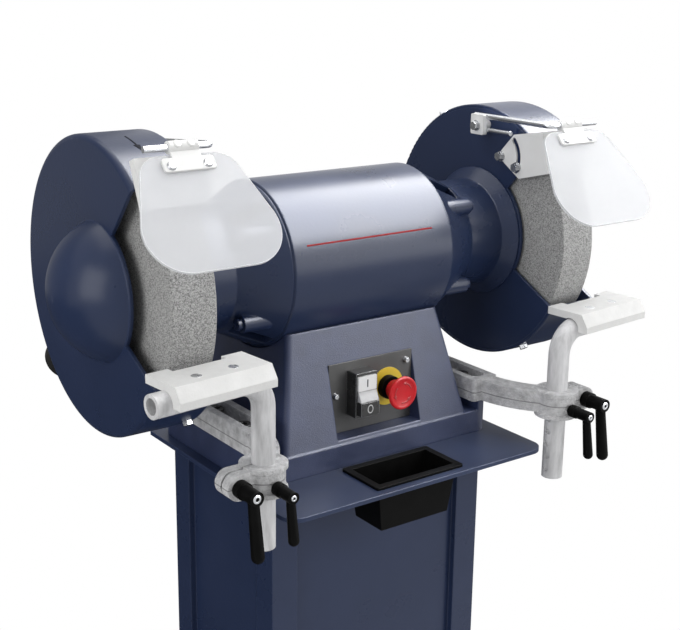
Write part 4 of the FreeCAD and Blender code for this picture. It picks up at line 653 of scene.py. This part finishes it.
class GRINDER_OT_pilot_lens(bpy.types.Operator):
    """Fit the pilot lens between the two buttons"""

    bl_idname = "grinder.pilot_lens"
    bl_label = "Pilot Lens"

    def execute(self, context):
        parts = context.scene.grinder_parts
        glassy = coat("pilot_grey", (0.50, 0.50, 0.51), (0.42, 0.42, 0.43), 0.25, patch=90.0, skin=700.0,
                      strength=0.05, level=0.1)
        gap = parts.lens_gap
        start_low, start_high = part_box("start_button")
        stop_low, stop_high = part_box("stop_button")
        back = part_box("switch_housing")[0].y
        # Section in depth and height: it slopes out from under the start button to the stop button's top.
        section = np.array(((back, start_low.z - gap), (start_low.y + gap, start_low.z - gap),
                            (stop_low.y + 2*gap, stop_high.z + 3*gap),
                            (stop_low.y + 2*gap, stop_high.z + gap), (back, stop_high.z + gap)))
        rows = np.vstack([section, section[:1]])
        pole = np.broadcast_to(section.mean(0), (1,) + rows.shape)
        x = np.linspace(start_low.x, start_high.x, 6)
        sections = np.concatenate([pole, np.broadcast_to(rows, (len(x),) + rows.shape), pole])
        places = np.concatenate([x[:1], x, x[-1:]])[:, None, None]
        grid = np.concatenate([np.broadcast_to(places, sections.shape[:2] + (1,)), sections], -1)
        lens = add_piece("pilot_lens", [(grid, False, False)], "stand", glassy)
        rounding = lens.modifiers.new("rounded edges", "BEVEL")
        rounding.width = parts.lens_rounding
        rounding.segments = 2
        rounding.limit_method = "ANGLE"
        return {"FINISHED"}


class GRINDER_OT_stop_head(bpy.types.Operator):
    """Turn the stop head with its lip and neck, and raise the turning arcs on its face"""

    bl_idname = "grinder.stop_head"
    bl_label = "Stop Head"

    def execute(self, context):
        parts = context.scene.grinder_parts
        finish = context.scene.grinder_finish
        red = coat("head_red", finish.red, shaded(finish.red, 0.85), 0.33, patch=50.0, skin=700.0,
                   strength=0.08, level=0.2)
        raised_red = coat("raised_red", shaded(finish.red, 0.72), shaded(finish.red, 0.62), 0.4,
                          patch=80.0, skin=700.0)
        low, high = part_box("estop_head")
        front = front_middle("estop_head")
        profile = self.head_profile(parts, (high.x - low.x)/2, high.y - low.y)
        mushroom = turned(profile, front, FORWARD, 72)
        head = add_piece("stop_head", [mushroom], "estop_push", red)
        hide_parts("estop_head")

        along = np.linspace(0, 1, 26)
        width = arrow_half_width(along, 0.68, 1.5, parts.arc_width)
        face = front - parts.lip_depth*FORWARD
        arcs = []
        for start in np.radians((20.0, 140.0, 260.0)):
            turn = start + along*parts.arc_sweep
            arc = face + parts.arc_radius*np.stack([np.cos(turn), 0*turn, np.sin(turn)], -1)
            arcs.append(band(arc, FORWARD, width, parts.mark_lift*1.6))
        add_piece("stop_head_arcs", arcs, "estop_push", raised_red)
        return {"FINISHED"}

    def head_profile(self, parts, radius, reach):
        """Radius and height from the front: flat face, round lip, neck on a quadratic curve, stem."""
        roll = (radius - parts.lip_radius)/2
        turn = np.radians(np.linspace(125, -70, 14))
        lip = np.stack([radius - roll + roll*np.cos(turn), roll*np.sin(turn) - roll], -1)
        first = lip[-1]
        waist = np.array((parts.neck_radius, first[1] - parts.neck_flare))
        last = np.array((parts.neck_radius, -parts.head_depth))
        along = np.linspace(0, 1, 12)[:, None]
        neck = (1 - along)**2*first + 2*along*(1 - along)*waist + along**2*last
        face = ((0.0, -parts.lip_depth), (parts.lip_radius, -parts.lip_depth))
        stem = ((parts.stem_radius, -parts.head_depth), (parts.stem_radius, -reach), (0.0, -reach))
        return np.vstack([face, lip, neck, stem])


class GRINDER_OT_motor_stripe(bpy.types.Operator):
    """Lay the thin red stripe along the motor"""

    bl_idname = "grinder.motor_stripe"
    bl_label = "Motor Stripe"

    def execute(self, context):
        parts = context.scene.grinder_parts
        finish = context.scene.grinder_finish
        red = coat("stripe_red", shaded(finish.red, 0.6), shaded(finish.red, 0.52), 0.6, patch=80.0,
                   skin=700.0, level=0.04)
        x = np.linspace(parts.stripe_start, parts.stripe_end, 40)
        turn = np.full(40, parts.stripe_turn)
        path = round_spindle(x, turn, parts.motor_radius)
        outward = round_spindle(0*x, turn, 1.0) - np.array((0.0, 0.0, SPINDLE_HEIGHT))
        add_piece("motor_stripe", [band(path, outward, parts.stripe_width/2, parts.mark_lift)], "stand",
                  red)
        return {"FINISHED"}


class GRINDER_OT_turning_arrow(bpy.types.Operator):
    """Put the turning arrow on the left guard's rim"""

    bl_idname = "grinder.turning_arrow"
    bl_label = "Turning Arrow"

    def execute(self, context):
        parts = context.scene.grinder_parts
        ink = coat("arrow_ink", (0.004, 0.005, 0.010), (0.007, 0.008, 0.014), 0.7, patch=200.0,
                   skin=900.0, level=0.05)
        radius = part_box("left_guard_shell")[1].z - SPINDLE_HEIGHT
        along = np.linspace(0, 1, 40)
        turn = parts.arrow_start + along*(parts.arrow_end - parts.arrow_start)
        path = round_spindle(np.full(40, parts.arrow_x), turn, radius)
        outward = (path - np.array((parts.arrow_x, 0.0, SPINDLE_HEIGHT)))/radius
        width = arrow_half_width(along, 0.66, 2.0, parts.arrow_width)
        arrow = band(path, outward, width, parts.mark_lift)
        add_piece("turning_arrow", [arrow], "stand", ink)
        return {"FINISHED"}


class GRINDER_OT_lever_inserts(bpy.types.Operator):
    """Fit the bright screw inserts in the lever hubs"""

    bl_idname = "grinder.lever_inserts"
    bl_label = "Lever Inserts"

    def execute(self, context):
        parts = context.scene.grinder_parts
        finish = context.scene.grinder_finish
        bright = coat("insert_bright", shaded(finish.steel, 1.1), shaded(finish.steel, 0.8), 0.35,
                      metallic=1.0, patch=200.0, skin=900.0, strength=0.08, radius=0.0004)
        for side in SIDES:
            for kind, r in (("clamp", parts.insert_radius), ("lock", 0.7*parts.insert_radius)):
                # Radius and height: foot in the hub, rim, chamfer and the recess for a key.
                profile = ((0, -2*MM), (r, -2*MM), (r, 0.2*MM), (0.86*r, 0.8*MM), (0.50*r, 0.9*MM),
                           (0.42*r, -0.6*MM), (0, -0.6*MM))
                name = side + "_" + kind
                centre = np.array(JOINTS[name + "_turn"]["pos_m"])
                solid = frame["nodes"][name + "_lever"]
                points = np.zeros(3*len(solid.data.vertices), np.float32)
                solid.data.vertices.foreach_get("co", points)
                points = points.reshape(-1, 3)
                near = np.hypot(points[:, 0] - centre[0], points[:, 2] - centre[2]) < parts.hub_radius
                centre[1] = points[near, 1].min()
                insert = turned(profile, centre, FORWARD)
                add_piece(name + "_insert", [insert], name, bright)
        return {"FINISHED"}


class GRINDER_OT_bracket_dimples(bpy.types.Operator):
    """Press the dimples on the shield brackets"""

    bl_idname = "grinder.bracket_dimples"
    bl_label = "Bracket Dimples"

    def execute(self, context):
        parts = context.scene.grinder_parts
        finish = context.scene.grinder_finish
        white = coat("dimple_white", finish.sheet_white, shaded(finish.sheet_white, 0.96), 0.42,
                     patch=60.0, skin=500.0, strength=0.06)
        facing = np.array((0.0, -math.cos(parts.shield_tilt), math.sin(parts.shield_tilt)))
        rise = np.linspace(0, np.pi/2, 9)
        dome = np.stack([parts.dimple_radius*np.cos(rise), parts.dimple_height*np.sin(rise)], -1)
        foot = ((0.0, -parts.dimple_root), (parts.dimple_radius, -parts.dimple_root))
        profile = np.vstack([foot, dome])
        for side in SIDES:
            hinge = np.array(JOINTS[side + "_shield_tilt"]["pos_m"]) + parts.barrel_radius*facing
            step = np.array((parts.dimple_spacing/2, 0.0, 0.0))
            domes = [turned(profile, hinge + way*step, facing) for way in (-1, 1)]
            add_piece(side + "_bracket_dimples", domes, side + "_shield", white)
        return {"FINISHED"}


class GRINDER_OT_weld_bead(bpy.types.Operator):
    """Weld the column's foot to the floor plate"""

    bl_idname = "grinder.weld_bead"
    bl_label = "Weld Bead"

    def execute(self, context):
        parts = context.scene.grinder_parts
        finish = context.scene.grinder_finish
        paint = coat("bead_navy", finish.navy, finish.navy_light, 0.34, patch=40.0, skin=300.0,
                     strength=0.2, level=0.4)
        low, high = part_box("stand_column")
        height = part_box("stand_base_plate")[1].z
        middle = np.array((low + high)/2)
        half = np.array((high.x - low.x, high.y - low.y))/2
        # A high power keeps the corners of the loop as square as the column's.
        loop = squared_loop(720, 60.0)*half
        path = np.stack([middle[0] + loop[:, 0], middle[1] + loop[:, 1], np.full(len(loop), height)], -1)
        step = np.linalg.norm(np.roll(path, -1, 0) - path, axis=1)
        ripple = 1 + parts.bead_ripple*np.sin(2*np.pi*np.cumsum(step)/parts.bead_pitch)
        grid = band(path, np.array((0, 0, 1.0)), parts.bead_radius*ripple, parts.bead_radius*ripple,
                    closed=True, count=10, power_of=2)
        add_piece("column_weld", [grid], "stand", paint)
        return {"FINISHED"}


class GRINDER_OT_studio(bpy.types.Operator):
    """Set the floor, the lamps, the surroundings and the camera"""

    bl_idname = "grinder.studio"
    bl_label = "Studio"

    def execute(self, context):
        stage = context.scene.grinder_stage
        self.lay_floor(stage)
        self.light_world(context.scene, stage)
        for name, place, width, height, power_name in LAMPS:
            self.add_lamp(name, place, width, height, getattr(stage, power_name))
        for name, corner, across, along, level_name in CARDS:
            self.hang_card(name, corner, across, along, getattr(stage, level_name))
        self.place_camera(context.scene, stage)
        context.scene.view_settings.view_transform = "Standard"
        return {"FINISHED"}

    def lay_floor(self, stage):
        """Square floor under the plate: pale near the grinder, plain white to the eye further out."""
        size = stage.floor_size
        floor = flat_sheet("floor", (-size/2, -size/2, -0.3*MM), (size, 0.0, 0.0), (0.0, size, 0.0), 9)
        material, tree, shader, place = start_material("floor_pale")
        clouds = noise(tree, place, 3.0, 3.0)
        tree.links.new(mix_colours(tree, clouds, (0.80, 0.80, 0.80), (0.84, 0.84, 0.84)),
                       shader.inputs["Base Color"])
        shader.inputs["Roughness"].default_value = 0.9
        glow = add_node(tree, "ShaderNodeEmission")
        ray = add_node(tree, "ShaderNodeLightPath")
        far = add_node(tree, "ShaderNodeVectorMath", operation="LENGTH")
        tree.links.new(place, far.inputs[0])
        fade = span(tree, far.outputs["Value"], stage.shadow_full, stage.shadow_end, 0.0, 1.0)
        seen = self.any_ray(tree, ray)
        weight = add_node(tree, "ShaderNodeMath", operation="MULTIPLY")
        tree.links.new(seen, weight.inputs[0])
        tree.links.new(fade, weight.inputs[1])
        blend = add_node(tree, "ShaderNodeMixShader")
        tree.links.new(weight.outputs["Value"], blend.inputs["Fac"])
        tree.links.new(shader.outputs["BSDF"], blend.inputs[1])
        tree.links.new(glow.outputs["Emission"], blend.inputs[2])
        tree.links.new(blend.outputs["Shader"], tree.nodes["Material Output"].inputs["Surface"])
        floor.data.materials.append(material)

    def any_ray(self, tree, ray):
        """One for camera, glossy and transmission rays."""
        total = ray.outputs["Is Camera Ray"]
        for name in ("Is Glossy Ray", "Is Transmission Ray"):
            largest = add_node(tree, "ShaderNodeMath", operation="MAXIMUM")
            tree.links.new(total, largest.inputs[0])
            tree.links.new(ray.outputs[name], largest.inputs[1])
            total = largest.outputs["Value"]
        return total

    def light_world(self, scene, stage):
        """White to the eye and in reflections, a plain ambient level for the rest."""
        world = bpy.data.worlds.new("studio")
        scene.world = world
        world.use_nodes = True
        tree = world.node_tree
        sky = tree.nodes["Background"]
        ray = add_node(tree, "ShaderNodeLightPath")
        sky.inputs["Color"].default_value = (1.0, 1.0, 1.0, 1.0)
        level = span(tree, self.any_ray(tree, ray), 0.0, 1.0, stage.ambient, 1.0)
        tree.links.new(level, sky.inputs["Strength"])

    def add_lamp(self, name, place, width, height, watts):
        """A soft rectangular lamp turned to the grinder."""
        light = bpy.data.lights.new(name, "AREA")
        light.shape = "RECTANGLE"
        light.size = width
        light.size_y = height
        light.energy = watts
        lamp = bpy.data.objects.new(name, light)
        lamp.location = place
        lamp.rotation_euler = (LAMP_AIM - Vector(place)).to_track_quat("-Z", "Y").to_euler()
        bpy.context.scene.collection.objects.link(lamp)

    def hang_card(self, name, corner, across, along, level):
        """Flat card, from a corner along two sides, that shows only in glossy surfaces."""
        card = flat_sheet(name, corner, across, along, 4)
        material = bpy.data.materials.new(name)
        material.use_nodes = True
        tree = material.node_tree
        tree.nodes.remove(tree.nodes["Principled BSDF"])
        glow = add_node(tree, "ShaderNodeEmission")
        glow.inputs["Strength"].default_value = level
        tree.links.new(glow.outputs["Emission"], tree.nodes["Material Output"].inputs["Surface"])
        card.data.materials.append(material)
        card.visible_camera = False
        card.visible_diffuse = False
        card.visible_transmission = False
        card.visible_shadow = False

    def place_camera(self, scene, stage):
        """Camera from its azimuth, elevation and roll."""
        a, e, r = stage.azimuth, stage.elevation, stage.roll
        ahead = Vector((-math.sin(a)*math.cos(e), math.cos(a)*math.cos(e), -math.sin(e)))
        level = Vector((math.cos(a), math.sin(a), 0.0))
        upright = level.cross(ahead)
        right = math.cos(r)*level + math.sin(r)*upright
        up = math.cos(r)*upright - math.sin(r)*level
        data = bpy.data.cameras.new("camera")
        data.lens = stage.lens
        data.sensor_width = 36.0
        data.shift_x, data.shift_y = stage.shift
        camera = bpy.data.objects.new("camera", data)
        camera.matrix_world = Matrix.Translation(stage.camera_place) @ Matrix(
            (right, up, -ahead)).transposed().to_4x4()
        scene.collection.objects.link(camera)
        scene.camera = camera


class GRINDER_PT_sidebar(bpy.types.Panel):
    """Lists the grinder's operators and their values"""

    bl_idname = "GRINDER_PT_sidebar"
    bl_label = "Bench Grinder"
    bl_space_type = "VIEW_3D"
    bl_region_type = "UI"
    bl_category = "Grinder"

    def draw(self, context):
        for operator in OPERATORS:
            self.layout.operator(operator.bl_idname)
        scene = context.scene
        for group in (scene.grinder_finish, scene.grinder_parts, scene.grinder_stage):
            box = self.layout.box()
            for name in group.__annotations__:
                box.prop(group, name)


OPERATORS = (GRINDER_OT_finish_solids, GRINDER_OT_switch_marks, GRINDER_OT_pilot_lens,
             GRINDER_OT_stop_head, GRINDER_OT_motor_stripe, GRINDER_OT_turning_arrow,
             GRINDER_OT_lever_inserts, GRINDER_OT_bracket_dimples, GRINDER_OT_weld_bead,
             GRINDER_OT_studio)
CLASSES = (GrinderFinish, GrinderParts, GrinderStage, *OPERATORS, GRINDER_PT_sidebar)


def register():
    """Register the classes and hang the three groups of values on the scene."""
    for item in CLASSES:
        bpy.utils.register_class(item)
    bpy.types.Scene.grinder_finish = bpy.props.PointerProperty(type=GrinderFinish)
    bpy.types.Scene.grinder_parts = bpy.props.PointerProperty(type=GrinderParts)
    bpy.types.Scene.grinder_stage = bpy.props.PointerProperty(type=GrinderStage)


def unregister():
    """Take the groups of values and the classes away again."""
    del bpy.types.Scene.grinder_stage
    del bpy.types.Scene.grinder_parts
    del bpy.types.Scene.grinder_finish
    for item in reversed(CLASSES):
        bpy.utils.unregister_class(item)


def main():
    """Register the add-on and run its operators in order."""
    register()
    bpy.ops.grinder.finish_solids()
    bpy.ops.grinder.switch_marks()
    bpy.ops.grinder.pilot_lens()
    bpy.ops.grinder.stop_head()
    bpy.ops.grinder.motor_stripe()
    bpy.ops.grinder.turning_arrow()
    bpy.ops.grinder.lever_inserts()
    bpy.ops.grinder.bracket_dimples()
    bpy.ops.grinder.weld_bead()
    bpy.ops.grinder.studio()
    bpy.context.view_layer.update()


if __name__ == "__main__":
    main()
